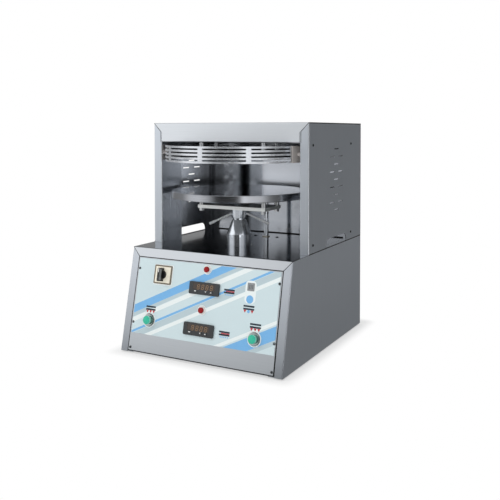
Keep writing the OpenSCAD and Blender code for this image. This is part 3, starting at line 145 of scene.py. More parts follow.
def filleted(corners, radius, steps=5):
    """Polyline with each inner corner rounded: an arc of the given radius, less where an edge is short."""
    corners = np.asarray(corners, float)
    out = [corners[:1]]
    for before, at, after in zip(corners[:-2], corners[1:-1], corners[2:]):
        a, b = before - at, after - at
        la, lb = np.linalg.norm(a), np.linalg.norm(b)
        a, b = a / la, b / lb
        half = 0.5 * np.arccos(np.clip(a @ b, -1, 1))
        reach = min(radius / np.tan(half), 0.45 * la, 0.45 * lb)
        r = reach * np.tan(half)
        middle = at + (a + b) / np.linalg.norm(a + b) * r / np.sin(half)
        start, end = at + a * reach - middle, at + b * reach - middle
        t = np.linspace(0, 1, steps)[:, None]
        arc = start * (1 - t) + end * t
        out.append(middle + arc / np.linalg.norm(arc, axis=1)[:, None] * r)
    out.append(corners[-1:])
    return np.concatenate(out)


def rectangle(low, high):
    """Outline of a rectangle from its low to its high corner."""
    (x0, s0), (x1, s1) = low, high
    return np.array([[x0, s0], [x1, s0], [x1, s1], [x0, s1]])


def bar(w, h):
    """Outline of a plain bar about its middle."""
    return rectangle((-w / 2, -h / 2), (w / 2, h / 2))


def round_rect(w, h, r, steps=6):
    """Outline of a rounded rectangle about its middle, anticlockwise."""
    turn = np.linspace(0, np.pi / 2, steps)
    arc = r * np.stack([np.cos(turn), np.sin(turn)], 1)
    corners = []
    for k, (sx, sy) in enumerate([(1, 1), (-1, 1), (-1, -1), (1, -1)]):
        c, s = math.cos(k * math.pi / 2), math.sin(k * math.pi / 2)
        corners.append(arc @ np.array([[c, s], [-s, c]]) + [sx * (w / 2 - r), sy * (h / 2 - r)])
    return np.concatenate(corners)


def disc(r, count=40):
    """Outline of a circle about the origin."""
    turn = np.linspace(0, 2 * np.pi, count, endpoint=False)
    return r * np.stack([np.cos(turn), np.sin(turn)], 1)


def arrow(w, h, way):
    """Outline of an arrow head that points up (way 1) or down (way -1)."""
    return np.array([[-w / 2, -h / 2], [w / 2, -h / 2], [0, h / 2]]) * [1, way]


def printed(outline, place, out, thick=FILM_THICK, face=PANEL):
    """Flat film on a face: rings from the outline's middle to its edge, then down the edge and back under."""
    outline = np.asarray(outline, float) + np.asarray(place, float)
    middle = outline.mean(0)
    share = np.array([0.0, 0.6, 1.0, 1.0, 0.0])
    height = out + thick * np.array([1.0, 1.0, 1.0, 0.0, 0.0])
    flat = middle + share[:, None, None] * (outline - middle)[None]
    return face.point(flat[..., 0], flat[..., 1], height[:, None])


def stroke(start, end, width, out, thick, face):
    """Straight bar of the given width from start to end on a face, in mm."""
    start, end = np.asarray(start, float), np.asarray(end, float)
    side = np.array([start[1] - end[1], end[0] - start[0]])
    side *= width / 2 / np.linalg.norm(side)
    return printed([start - side, end - side, end + side, start + side], (0, 0), out, thick, face)


# Materials

# Where one finish gives way to another, in mm.
SIDE_SKIN, HOOD_SKIN = HALF_WIDTH - 0.4, HOOD_Y + 0.4  # behind the outer faces of the sides and the hood's front
POST_BACK = -27.5  # y behind the hood's front posts
DECK_FOLD = DECK_Z - 0.9  # below the deck's top face
PLATE_RIM, PLATE_TOP = 375.0, 375.9  # heights of the edge from the lower plate's rim to its top
UPPER_FACE = 455.3  # just over the upper plate's face
HEM_START, HEM_END = 206.0, 207.5  # |x| of the bend into the inner back's side hems
ROUND = 50.0  # radius on which a turned finish has its true size
WALL_FRONT, WALL_BACK = -30.0, 120.0  # y between which painted shade darkens the hood's walls
WALL_LOW, WALL_HIGH = 280.0, 400.0  # heights between which their painted shade lifts
PALE_HALF, FLANGE_HIGH = 100.0, 200.0  # half the width over which painted light pales the hood, height above which a flange has least painted shade

# Shares of a finish's brightness where painted shade or painted light sets it apart from the rest of its sheet, and
# roughness added there.
BACK_SHADE_SHARE, LOW_SHADE_SHARE, POST_PAINTED_SHARE, LEFT_LIGHT_SHARE = 0.22, 0.45, 0.92, 1.13
FOOT_SHADE_SHARE, FLANGE_SHADE_SHARE, RIM_SHADE_SHARE = 0.62, 0.97, 0.75
POST_ROUGH, RIM_ROUGH = 0.1, 0.16

# The noise of every finish: its octaves, the share of the fine ones, the strength of its relief and its usual range.
DETAIL, FINENESS, RELIEF, NOISE_LOW, NOISE_HIGH = 3.0, 0.55, 0.35, 0.25, 0.75


def linear(code):
    """sRGB hex colour as linear RGBA."""
    rgb = np.array([int(code[k:k + 2], 16) for k in (1, 3, 5)]) / 255
    rgb = np.where(rgb <= 0.04045, rgb / 12.92, ((rgb + 0.055) / 1.055) ** 2.4)
    return (*rgb.tolist(), 1.0)


def add(tree, kind, inputs=None, **settings):
    """Adds one node with its settings; an input is a value or another node's output."""
    node = tree.nodes.new(kind)
    for name, value in settings.items():
        setattr(node, name, value)
    for key, value in (inputs or {}).items():
        if isinstance(value, bpy.types.NodeSocket):
            tree.links.new(value, node.inputs[key])
        else:
            node.inputs[key].default_value = value
    return node


def blank(name):
    """New material, its empty node tree and the Object coordinates."""
    material = bpy.data.materials.new(name)
    material.use_nodes = True
    tree = material.node_tree
    tree.nodes.clear()
    return material, tree, add(tree, "ShaderNodeTexCoord").outputs["Object"]


def patterned(name, dark, light, rough, size_mm, relief_mm, stretch=(1, 1, 1), turned_about=None, pull=None,
              lining=None, shade=None, dull=None, **constants):
    """Finish whose colour, roughness and relief follow one noise: size_mm is the width of a mark and
    stretch its length along each axis in marks. turned_about maps the noise to radius, angle and height,
    pull is the way in which reflections are drawn out, and lining gives a sheet's other side:
    the function that tells the sides apart, its two colours and its roughness. shade paints light and shade in,
    as the share of the colour that is left at each place, and dull gives the roughness that is added there."""
    material, tree, place = blank(name)
    spot = place if turned_about is None else radial_place(tree, place, turned_about)
    scale = [1 / (size_mm * MM * k) for k in stretch]
    mapped = add(tree, "ShaderNodeMapping", {"Vector": spot, "Scale": scale}).outputs["Vector"]
    value = add(tree, "ShaderNodeTexNoise", {"Vector": mapped, "Scale": 1.0, "Detail": DETAIL,
                                             "Roughness": FINENESS}).outputs["Fac"]
    colour, roughness = tones(tree, value, dark, light, rough)
    if lining is not None:
        side, *other = lining
        outside = side(tree, place)
        inner_colour, inner_roughness = tones(tree, value, *other)
        colour = add(tree, "ShaderNodeMix", {"Factor": outside, "A": inner_colour, "B": colour},
                     data_type="RGBA").outputs["Result"]
        roughness = add(tree, "ShaderNodeMix", {"Factor": outside, "A": inner_roughness,
                                                "B": roughness}).outputs["Result"]
    if shade is not None:
        colour = add(tree, "ShaderNodeVectorMath", {0: colour, "Scale": shade(tree, place)},
                     operation="SCALE").outputs[0]
    if dull is not None:
        roughness = add(tree, "ShaderNodeMath", {0: roughness, 1: dull(tree, place)}, operation="ADD").outputs[0]
    relief = add(tree, "ShaderNodeBump", {"Height": value, "Strength": RELIEF, "Distance": relief_mm * MM})
    shader = add(tree, "ShaderNodeBsdfPrincipled", {"Base Color": colour, "Roughness": roughness,
                                                    "Normal": relief.outputs["Normal"],
                                                    **{k.replace("_", " "): v for k, v in constants.items()}})
    if pull is not None:
        way = add(tree, "ShaderNodeCombineXYZ", dict(enumerate(pull))).outputs[0]
        tree.links.new(way, shader.inputs["Tangent"])
    add(tree, "ShaderNodeOutputMaterial", {"Surface": shader.outputs["BSDF"]})
    return material


def tones(tree, value, dark, light, rough):
    """Colour from dark to light and roughness between two levels, both by the same value."""
    colour = add(tree, "ShaderNodeMix", {"Factor": value, "A": linear(dark), "B": linear(light)}, data_type="RGBA")
    level = add(tree, "ShaderNodeMapRange", {"Value": value, "From Min": NOISE_LOW, "From Max": NOISE_HIGH,
                                             "To Min": rough[0], "To Max": rough[1]})
    return colour.outputs["Result"], level.outputs["Result"]


def outer_sides(tree, place):
    """1 on the outer faces of both sides, and 0 behind them."""
    across = add(tree, "ShaderNodeSeparateXYZ", {0: place}).outputs["X"]
    apart = add(tree, "ShaderNodeMath", {0: across}, operation="ABSOLUTE").outputs[0]
    return add(tree, "ShaderNodeMath", {0: apart, 1: SIDE_SKIN * MM}, operation="GREATER_THAN").outputs[0]


def hood_outside(tree, place):
    """1 on the hood's outer faces, which lie at the sides and at the front of its box, and 0 inside."""
    depth = add(tree, "ShaderNodeSeparateXYZ", {0: place}).outputs["Y"]
    front = add(tree, "ShaderNodeMath", {0: depth, 1: HOOD_SKIN * MM}, operation="LESS_THAN").outputs[0]
    return add(tree, "ShaderNodeMath", {0: outer_sides(tree, place), 1: front}, operation="MAXIMUM").outputs[0]


def hood_post(tree, place):
    """1 on the hood's front posts, and 0 on its walls behind them."""
    depth = add(tree, "ShaderNodeSeparateXYZ", {0: place}).outputs["Y"]
    return add(tree, "ShaderNodeMath", {0: depth, 1: POST_BACK * MM}, operation="LESS_THAN").outputs[0]


def hood_painted_light_and_shade(tree, place):
    """Painted light and shade on the hood, as a share of its brightness: inside, most is left on the posts, and
    on the walls painted shade darkens it towards the back and below the plates; outside, painted light pales the
    left."""
    parts = add(tree, "ShaderNodeSeparateXYZ", {0: place})
    deep = add(tree, "ShaderNodeMapRange", {"Value": parts.outputs["Y"], "From Min": WALL_FRONT * MM,
                                            "From Max": WALL_BACK * MM, "To Min": 1.0,
                                            "To Max": BACK_SHADE_SHARE}).outputs["Result"]
    high = add(tree, "ShaderNodeMapRange", {"Value": parts.outputs["Z"], "From Min": WALL_LOW * MM,
                                            "From Max": WALL_HIGH * MM, "To Min": LOW_SHADE_SHARE,
                                            "To Max": 1.0}).outputs["Result"]
    pale = add(tree, "ShaderNodeMapRange", {"Value": parts.outputs["X"], "From Min": -PALE_HALF * MM,
                                            "From Max": PALE_HALF * MM, "To Min": LEFT_LIGHT_SHARE,
                                            "To Max": 1.0}).outputs["Result"]
    wall = add(tree, "ShaderNodeMath", {0: deep, 1: high}, operation="MULTIPLY").outputs[0]
    inside = add(tree, "ShaderNodeMix", {"Factor": hood_post(tree, place), "A": wall,
                                         "B": POST_PAINTED_SHARE}).outputs["Result"]
    return add(tree, "ShaderNodeMix", {"Factor": hood_outside(tree, place), "A": inside,
                                       "B": pale}).outputs["Result"]


def post_grain(tree, place):
    """Roughness added on the posts' inner faces, which are ground and not bright."""
    inside = add(tree, "ShaderNodeMath", {0: hood_post(tree, place), 1: hood_outside(tree, place)},
                 operation="SUBTRACT", use_clamp=True).outputs[0]
    return add(tree, "ShaderNodeMath", {0: inside, 1: POST_ROUGH}, operation="MULTIPLY").outputs[0]


def flange_painted_shade(tree, place):
    """Painted shade on a base side, as a share of its brightness: none on its outer face, more on its front flange
    towards the floor.
    """
    height = add(tree, "ShaderNodeSeparateXYZ", {0: place}).outputs["Z"]
    rise = add(tree, "ShaderNodeMapRange", {"Value": height, "From Min": 0.0, "From Max": FLANGE_HIGH * MM,
                                            "To Min": FOOT_SHADE_SHARE, "To Max": FLANGE_SHADE_SHARE}).outputs["Result"]
    return add(tree, "ShaderNodeMath", {0: outer_sides(tree, place), 1: rise}, operation="MAXIMUM").outputs[0]


def plate_top(tree, place):
    """1 on the lower plate's top, and 0 on its rim."""
    height = add(tree, "ShaderNodeSeparateXYZ", {0: place}).outputs["Z"]
    return add(tree, "ShaderNodeMapRange", {"Value": height, "From Min": PLATE_RIM * MM,
                                            "From Max": PLATE_TOP * MM}).outputs["Result"]


def rim_painted_shade(tree, place):
    """Painted shade on the lower plate, as a share of its brightness: none on its top, and some on its rim."""
    return add(tree, "ShaderNodeMapRange", {"Value": plate_top(tree, place), "To Min": RIM_SHADE_SHARE,
                                            "To Max": 1.0}).outputs["Result"]


def rim_lines(tree, place):
    """Roughness added on the lower plate's rim, whose tool lines are coarser than its polished top's."""
    return add(tree, "ShaderNodeMapRange", {"Value": plate_top(tree, place), "To Min": RIM_ROUGH,
                                            "To Max": 0.0}).outputs["Result"]


def hem_painted_shade(tree, place):
    """Painted shade on the inner back, as a share of its brightness: none on the wall, and on its side hems as
    much as at the back of the hood's walls."""
    across = add(tree, "ShaderNodeSeparateXYZ", {0: place}).outputs["X"]
    apart = add(tree, "ShaderNodeMath", {0: across}, operation="ABSOLUTE").outputs[0]
    return add(tree, "ShaderNodeMapRange", {"Value": apart, "From Min": HEM_START * MM, "From Max": HEM_END * MM,
                                            "To Min": 1.0, "To Max": BACK_SHADE_SHARE}).outputs["Result"]


def above_face(tree, place):
    """1 on the upper plate's rim and top, and 0 on its face, which looks down."""
    height = add(tree, "ShaderNodeSeparateXYZ", {0: place}).outputs["Z"]
    return add(tree, "ShaderNodeMath", {0: height, 1: UPPER_FACE * MM}, operation="GREATER_THAN").outputs[0]


def below_deck(tree, place):
    """1 on the deck's front fold and under it, and 0 on its top face."""
    height = add(tree, "ShaderNodeSeparateXYZ", {0: place}).outputs["Z"]
    return add(tree, "ShaderNodeMath", {0: height, 1: DECK_FOLD * MM}, operation="LESS_THAN").outputs[0]


def radial_place(tree, place, foot):
    """Coordinates (radius, arc on a circle of radius ROUND, height) about an upright axis through foot."""
    moved = add(tree, "ShaderNodeVectorMath", {0: place, 1: tuple(foot)}, operation="SUBTRACT").outputs[0]
    flat = add(tree, "ShaderNodeVectorMath", {0: moved, 1: (1, 1, 0)}, operation="MULTIPLY").outputs[0]
    radius = add(tree, "ShaderNodeVectorMath", {0: flat}, operation="LENGTH").outputs["Value"]
    parts = add(tree, "ShaderNodeSeparateXYZ", {0: moved})
    angle = add(tree, "ShaderNodeMath", {0: parts.outputs["Y"], 1: parts.outputs["X"]}, operation="ARCTAN2")
    arc = add(tree, "ShaderNodeMath", {0: angle.outputs[0], 1: ROUND * MM}, operation="MULTIPLY")
    return add(tree, "ShaderNodeCombineXYZ", {0: radius, 1: arc.outputs[0], 2: parts.outputs["Z"]}).outputs[0]


# Cold-rolled stainless with a ground grain: soft reflections, drawn out across the lines of the grain.
# The real lines are 0.1 mm apart; they are drawn 0.9 mm apart so that they show at all.
STEEL = dict(Metallic=1.0)
GROUND = dict(Metallic=1.0, Anisotropic=0.75)
GRAIN_ACROSS = dict(stretch=(90, 1, 1), pull=(0, 0.2, 1), **GROUND)
GRAIN_UPRIGHT = dict(stretch=(1, 1, 90), pull=(1, 1, 0), **GROUND)
steel_flat = patterned("ground_stainless_across", "#d0d5da", "#e1e5ea", (0.30, 0.38), 0.9, 0.004, **GRAIN_ACROSS)
# On the base sides, painted shade darkens the front flanges towards the floor.
steel_upright = patterned("ground_stainless_upright", "#c9d0d8", "#dae0e8", (0.34, 0.42), 0.9, 0.004,
                          shade=flange_painted_shade, **GRAIN_UPRIGHT)
# The hood: ground outside, and inside bright sheet that mirrors the plates.
# Its colour carries painted shade inside, towards the back and below the plates, and painted light outside on the
# left.
steel_hood = patterned("ground_stainless_bright_inside", "#c2c9d1", "#d4dae2", (0.30, 0.38), 0.9, 0.004,
                       lining=(hood_outside, "#ecf0f6", "#f9fcff", (0.13, 0.18)), shade=hood_painted_light_and_shade,
                       dull=post_grain, **GRAIN_UPRIGHT)
# The deck: ground like the rest on its front fold, bright on top, where its colour is darkened as painted shade.
steel_deck = patterned("ground_stainless_bright_deck", "#c1c6cb", "#d3d7dc", (0.30, 0.38), 0.9, 0.004,
                       lining=(below_deck, "#595e64", "#696e74", (0.08, 0.13)), **GRAIN_ACROSS)
# The control panel's own sheet, from a darker batch.
steel_panel = patterned("ground_stainless_panel", "#b1b6bb", "#c3c8cd", (0.30, 0.38), 0.9, 0.004, **GRAIN_ACROSS)
# Bright-annealed stainless: nearly a mirror, rolled across, which draws reflections out upwards, with faint
# cloudiness 30 mm wide.
# Painted shade darkens its side hems.
steel_bright = patterned("bright_annealed_stainless", "#aeb2b9", "#c3c7cd", (0.13, 0.17), 30, 0.02, (3, 1, 1),
                         pull=(0, 0, 1), shade=hem_painted_shade, Metallic=1.0, Anisotropic=0.85)
# Turned and polished steel: circular tool lines 0.6 mm apart that pull highlights into streaks.
TURNED = dict(stretch=(1, 400, 1), turned_about=PRESS_AXIS)
# The lower plate's rim is darkened by painted shade.
steel_turned = patterned("turned_steel", "#b4b7bd", "#d4d7dd", (0.05, 0.08), 0.6, 0.006,
                         shade=rim_painted_shade, dull=rim_lines, **TURNED, **STEEL)
# The upper plate: rim and top darkened as painted shade, to stay dark behind the guard's slots, bright underneath.
steel_plate_shaded = patterned("plate_steel_painted_shade", "#1b1c1e", "#2b2c2f", (0.3, 0.4), 0.6, 0.006,
                        lining=(above_face, "#b6b7b8", "#d6d7d8", (0.10, 0.16)), **TURNED, **STEEL)
# Black heat-proof coat on the upper plate's cover: dull, with no more than a grey sheen.
heat_coat = patterned("black_heat_coat", "#121314", "#1d1e20", (0.35, 0.48), 1.5, 0.01, IOR=1.45)
# Dull zinc on the levers and the studs: it shows light even where it mirrors the dark inside of the hood.
steel_pale = patterned("dull_zinc_plate", "#e1e5ea", "#f3f6fa", (0.22, 0.3), 1.2, 0.006, (1, 1, 30), Metallic=0.6)
# The guide rod is ground and polished: a bright stripe between dark edges.
steel_rod = patterned("polished_rod_steel", "#e1e5eb", "#f3f7fc", (0.06, 0.1), 1.2, 0.004, (1, 1, 30), Metallic=0.95)
# The column and its collar: fine turned, with crisp upright streaks of light.
steel_column = patterned("fine_turned_steel", "#cbd1d9", "#e8edf4", (0.07, 0.11), 0.6, 0.006, Metallic=0.88, **TURNED)
# The guard ring: polished round its bars, light even where the room is dark.
steel_ring = patterned("polished_guard_steel", "#c3c7cd", "#dcdfe5", (0.22, 0.3), 2.0, 0.01, (12, 12, 1),
                       Metallic=0.75)
steel_satin = patterned("blasted_steel", "#8e9092", "#a6a8a9", (0.34, 0.45), 0.8, 0.02, **STEEL)
steel_bar = patterned("drawn_bright_bar", "#d3d7d6", "#e9ebea", (0.3, 0.4), 0.8, 0.01, (1, 60, 1), Metallic=0.6)
# Screws: dull dark metal, so that each shows as a dark dot, and a lighter grey for those on the panel.
black_screw = patterned("blackened_screw_steel", "#1d1f20", "#2f3133", (0.3, 0.42), 1.2, 0.01, **STEEL)
screw_steel = patterned("grey_screw_steel", "#505355", "#6b6e71", (0.28, 0.4), 1.2, 0.01, **STEEL)
zinc = patterned("bright_zinc_plate", "#b4b7b9", "#d2d4d5", (0.22, 0.36), 3.0, 0.01, **STEEL)
bronze = patterned("turned_bronze", "#9a7844", "#b8965c", (0.25, 0.36), 0.8, 0.01, (1, 1, 20), **STEEL)
pale_bronze = patterned("nickel_bronze", "#b5ad9c", "#cbc4b4", (0.25, 0.36), 0.8, 0.01, (1, 1, 20), **STEEL)
gear_steel = patterned("milled_gear_steel", "#77797b", "#8f9193", (0.3, 0.42), 0.8, 0.01, (20, 1, 1), **STEEL)
heater_alloy = patterned("cast_heater_alloy", "#7d7a76", "#989590", (0.45, 0.6), 2.5, 0.05, **STEEL)
# Satin chrome on the button rings: pale grey with a soft edge light.
chrome = patterned("satin_chrome", "#8f9796", "#a2a9a8", (0.16, 0.24), 4.0, 0.003, **STEEL)
# Stove enamel on plate: slight orange peel 3 mm across.
frame_paint = patterned("grey_stove_enamel", "#54585c", "#5d6165", (0.4, 0.5), 3.0, 0.03, IOR=1.5)
motor_paint = patterned("blue_grey_motor_enamel", "#3f5268", "#4a5e75", (0.4, 0.5), 3.0, 0.03, IOR=1.5)
guard_paint = patterned("brown_grey_oxide_plate", "#a8a3a0", "#bdb8b5", (0.4, 0.55), 4.0, 0.02, (1, 1, 3), IOR=1.5)
# Moulded rubber and plastics: fine spark-eroded texture about 0.5 mm across.
rubber = patterned("moulded_rubber", "#161616", "#222222", (0.7, 0.85), 0.5, 0.05, IOR=1.52)
black_plastic = patterned("moulded_black_nylon", "#0d0d0e", "#1b1b1c", (0.32, 0.46), 0.5, 0.02, IOR=1.53)
device_plastic = patterned("moulded_grey_nylon", "#4c4f52", "#5a5d60", (0.45, 0.6), 0.6, 0.02, IOR=1.53)
controller_plastic = patterned("moulded_dark_grey_abs", "#26292b", "#333638", (0.42, 0.55), 0.5, 0.02, IOR=1.54)
key_plastic = patterned("rubber_key_grey", "#2f3234", "#3c3f41", (0.5, 0.62), 0.5, 0.02, IOR=1.5)
window_plastic = patterned("smoked_acrylic", "#2b221c", "#352a22", (0.1, 0.16), 6.0, 0.002, IOR=1.49)
olive_plastic = patterned("moulded_olive_brown_abs", "#62594a", "#766b59", (0.4, 0.52), 0.6, 0.02, IOR=1.54)
cream_plastic = patterned("moulded_cream_abs", "#e2dcc9", "#eee9da", (0.36, 0.48), 0.8, 0.01, IOR=1.54)
timer_plastic = patterned("moulded_mid_grey_abs", "#77797a", "#8a8c8d", (0.4, 0.52), 0.6, 0.01, IOR=1.54)
lamp_ring = patterned("bright_moulded_ring", "#d3d0cd", "#e9e7e5", (0.2, 0.3), 1.0, 0.004, IOR=1.54)
# Lenses: moulded in a deep colour, glossy at their edges.
green_lens = patterned("green_polycarbonate", "#12a284", "#2ab899", (0.3, 0.4), 2.0, 0.01, IOR=1.58)
# The button caps' sides: their green paled as painted light.
lens_painted_light = patterned("green_polycarbonate_painted_light", "#86cfbd", "#9adcca", (0.3, 0.4), 2.0, 0.01, IOR=1.58)
red_lens = patterned("red_polycarbonate", "#7a060b", "#951017", (0.2, 0.3), 1.5, 0.01, IOR=1.58,
                     Specular_IOR_Level=0.2)
# Polyester overlay with a fine matt coat, printed from behind.
film = patterned("matt_polyester_film", "#bccdd1", "#c6d6da", (0.38, 0.46), 1.2, 0.004, IOR=1.57)
# Painted shadow in gaps and seams: black and matt, so that each shows as a plain dark line.
shadow_black = patterned("black_painted_shadow", "#0c0d0e", "#191a1b", (0.55, 0.7), 1.5, 0.02, IOR=1.45)


def ink(name, code, spread=6):
    """Screen-printed ink on the film: one colour with slight mottling 2 mm across."""
    rgb = [int(code[k:k + 2], 16) for k in (1, 3, 5)]
    low, high = ("#" + "".join(f"{min(255, max(0, c + d)):02x}" for c in rgb) for d in (-spread, spread))
    return patterned(name, low, high, (0.4, 0.48), 2.0, 0.003, IOR=1.5)


blue_ink = ink("blue_ink", "#6fa9d8")
grey_ink = ink("pale_grey_ink", "#aebfc5")
white_ink = ink("white_ink", "#dde4e4", 4)
navy_ink = ink("navy_ink", "#10202e", 3)
red_ink = ink("red_ink", "#b41f2b")
digit_ink = ink("unlit_segment_brown", "#8a6c4c", 8)
mark_ink = ink("white_key_mark", "#e8e8e6", 4)
window_grey = ink("grey_timer_window", "#7f8385", 10)

FINISH = {
    steel_panel: ["control_panel"],
    steel_flat: ["base_tray", "hood_top_cover", "back_panel"],
    steel_upright: ["base_left_side", "base_right_side"],
    steel_hood: ["hood_left_side", "hood_right_side", "hood_front_posts"],
    steel_bright: ["hood_inner_back"],
    steel_deck: ["base_deck"],
    steel_turned: ["lower_plate"],
    steel_plate_shaded: ["upper_plate"],
    heat_coat: ["upper_cover"],
    steel_column: ["column", "adjust_collar", "plate_stem"],
    steel_ring: ["guard_ring"],
    steel_rod: ["guide_rod"],
    steel_pale: ["collar_levers", "hanger_studs"],
    steel_satin: ["lower_cover"],
    steel_bar: ["plate_bracket"],
    screw_steel: ["cabinet_screws"],
    zinc: ["bracket_bolts"],
    frame_paint: ["frame_cheeks", "frame_top_plate", "frame_guide_plate", "frame_foot_plate", "worm_gearbox"],
    motor_paint: ["drive_motor"],
    guard_paint: ["guard_brackets"],
    bronze: ["column_sleeve", "shaft_bushes"],
    pale_bronze: ["rod_bush"],
    gear_steel: ["pinion_shaft"],
    heater_alloy: ["upper_heater", "lower_heater"],
    rubber: ["rubber_feet"],
    film: ["panel_overlay"],
    black_plastic: ["switch_knob", "cable_gland", "contact_blocks"],
    device_plastic: ["rail_devices"],
    controller_plastic: ["controller_cases"],
    key_plastic: [f"{row}_{key}_key" for row in ("upper", "lower") for key in ("set", "down", "up")],
    window_plastic: ["display_windows"],
    olive_plastic: ["switch_frame"],
    cream_plastic: ["switch_face"],
    chrome: ["button_bezels"],
    lamp_ring: ["lamp_bezels"],
    green_lens: ["left_button", "right_button"],
    red_lens: ["lamp_lenses"],
    timer_plastic: ["timer_case"],
}
for finish, names in FINISH.items():
    for name in names:
        nodes[name].data.materials.clear()
        nodes[name].data.materials.append(finish)
assert sum(len(names) for names in FINISH.values()) == len(nodes)


# Prints on the panel

# Places on the panel, across and up its slope, and heights out of it, in mm.
OVERLAY = np.array([[-187.5, 44.5], [187.5, 218.5]])
SWITCH, TIMER, TIMER_DOT, TIMER_TAG = (-116.5, 184.7), (117.7, 180.4), (117.2, 153.7), (117.5, 169.5)
SWITCH_TAG = (SWITCH[0] + 0.5, SWITCH[1] - 0.5)
LAMPS, BUTTONS = [(2.4, 207.4), (-1.1, 116.4)], [(-140.8, 78), (137.2, 72)]
CONTROLLERS = [(0.5, 164.4), (-3, 73.4)]
FILM_OUT, TAG_OUT, SIGN_OUT, HEAT_OUT = 0.50, 0.53, 0.56, 0.59  # on the film, the bands, the tags, the signs
TIMER_OUT, TIMER_BAR_OUT, FIGURE_OUT, KEY_OUT = 0.60, 0.63, 4.7, 5.7  # timer, its window, displays, keys
BAND_SLOPE = math.radians(26)

# Signs of two plates beside each device, with heat marks, or with arrows that close the plates or hold them.
HEAT_SIGNS, CLOSE_SIGNS, HOLD_SIGN = [(64.5, 162.8), (62.7, 71.5)], [(-139.8, 103), (137.5, 97.3)], (117, 133.6)
PLATE_BAR, PLATE_ROWS = bar(27, 3.8), (5.3, -0.8)
HEAT_BAR, HEAT_SHIFT = bar(22, 1.8), (2.5, 2.2)
WAVE_DOT, WAVE_STEP, WAVE_ROW = disc(1.5, 12), 4.6, -5.6
CLOSE_ARROW, CLOSE_STEP, HOLD_STEP, ARROW_ROW = arrow(7, 6.4, -1), 8.8, 9, -6.2
HOLD_DOT, HOLD_ROW = disc(3.4), -6


def cut(outline, normal, limit):
    """Part of a convex outline where normal . point <= limit."""
    inside = outline @ normal <= limit
    kept = []
    for k in range(len(outline)):
        a, b = outline[k - 1], outline[k]
        if inside[k - 1] != inside[k]:
            t = (limit - a @ normal) / ((b - a) @ normal)
            kept.append(a + t * (b - a))
        if inside[k]:
            kept.append(b)
    return np.array(kept)


def band(start_x, width):
    """Straight slanted band: the overlay's rectangle cut to a strip that starts at start_x on its bottom edge."""
    normal = np.array([math.sin(BAND_SLOPE), -math.cos(BAND_SLOPE)])
    limit = normal @ np.array([start_x, OVERLAY[0][1]])
    strip = cut(cut(rectangle(*OVERLAY), normal, limit + width), -normal, -limit)
    return printed(strip, (0, 0), FILM_OUT)


def row_of(outline, sign, step, row, marks):
    """The same mark at several steps across a sign, row mm over its middle."""
    x, s = sign
    return [printed(outline, (x + k * step, s + row), SIGN_OUT) for k in marks]


for colour, colour_ink, strips in (("blue", blue_ink, [(-318, 17), (62, 26), (-196, 5)]),
                                   ("grey", grey_ink, [(-279, 8), (-182, 13), (122, 9)]),
                                   ("white", white_ink, [(-258, 10), (-150, 8), (38, 7)])):
    piece(f"panel_bands_{colour}", [band(*strip) for strip in strips], colour_ink, "cabinet")

tags = [printed(round_rect(53, 48, 4), SWITCH_TAG, TAG_OUT), printed(round_rect(27, 49, 9), TIMER_TAG, TAG_OUT)]
tags += [printed(disc(11.2), lamp, TAG_OUT) for lamp in LAMPS]
tags += [printed(disc(17), button, TAG_OUT) for button in BUTTONS]
piece("panel_tags_white", tags, white_ink, "cabinet")

signs = HEAT_SIGNS + CLOSE_SIGNS + [HOLD_SIGN]
plates = [grid for sign in signs for row in PLATE_ROWS for grid in row_of(PLATE_BAR, sign, 0, row, [0])]
piece("plate_signs_navy", plates, navy_ink, "cabinet")
heat = [printed(HEAT_BAR, np.add(sign, HEAT_SHIFT), HEAT_OUT) for sign in HEAT_SIGNS]
arrows = [grid for sign in CLOSE_SIGNS for grid in row_of(CLOSE_ARROW, sign, CLOSE_STEP, ARROW_ROW, (-1, 0, 1))]
arrows += row_of(CLOSE_ARROW, HOLD_SIGN, HOLD_STEP, ARROW_ROW, (-1, 1))
piece("press_signs_red", heat + arrows, red_ink, "cabinet")
waves = [grid for sign in HEAT_SIGNS for grid in row_of(WAVE_DOT, sign, WAVE_STEP, WAVE_ROW, range(-2, 3))]
dots = [printed(disc(8.75), TIMER_DOT, SIGN_OUT)] + row_of(HOLD_DOT, HOLD_SIGN, 0, HOLD_ROW, [0])
piece("time_signs_blue", waves + dots, blue_ink, "cabinet")

piece("timer_window", [printed(bar(12.4, 12.4), TIMER, TIMER_OUT)], window_grey, "cabinet")
bars = [printed(bar(0.9, 9), (TIMER[0] + k, TIMER[1]), TIMER_BAR_OUT) for k in (-3.6, 0, 3.6)]
piece("timer_bars", bars, black_plastic, "cabinet")


def segment(w, h):
    """Outline of one pointed stroke of a figure, upright, about its middle."""
    return np.array([[0, -h / 2], [w / 2, -h / 2 + w / 2], [w / 2, h / 2 - w / 2], [0, h / 2],
                     [-w / 2, h / 2 - w / 2], [-w / 2, -h / 2 + w / 2]])


def figure(x, s):
    """Seven strokes of an unlit figure 6 by 11 mm, leaning by one in eight."""
    upright, level = segment(1.1, 4.9), segment(1.1, 4.9)[:, ::-1] * [0.9, 1]
    places = [(level, 0, 5.2), (level, 0, 0), (level, 0, -5.2)]
    places += [(upright, side * 2.7, half * 2.6) for side in (-1, 1) for half in (-1, 1)]
    lean = np.array([[1, 0], [0.125, 1]])
    return [printed((outline + (dx, ds)) @ lean, (x, s), FIGURE_OUT) for outline, dx, ds in places]


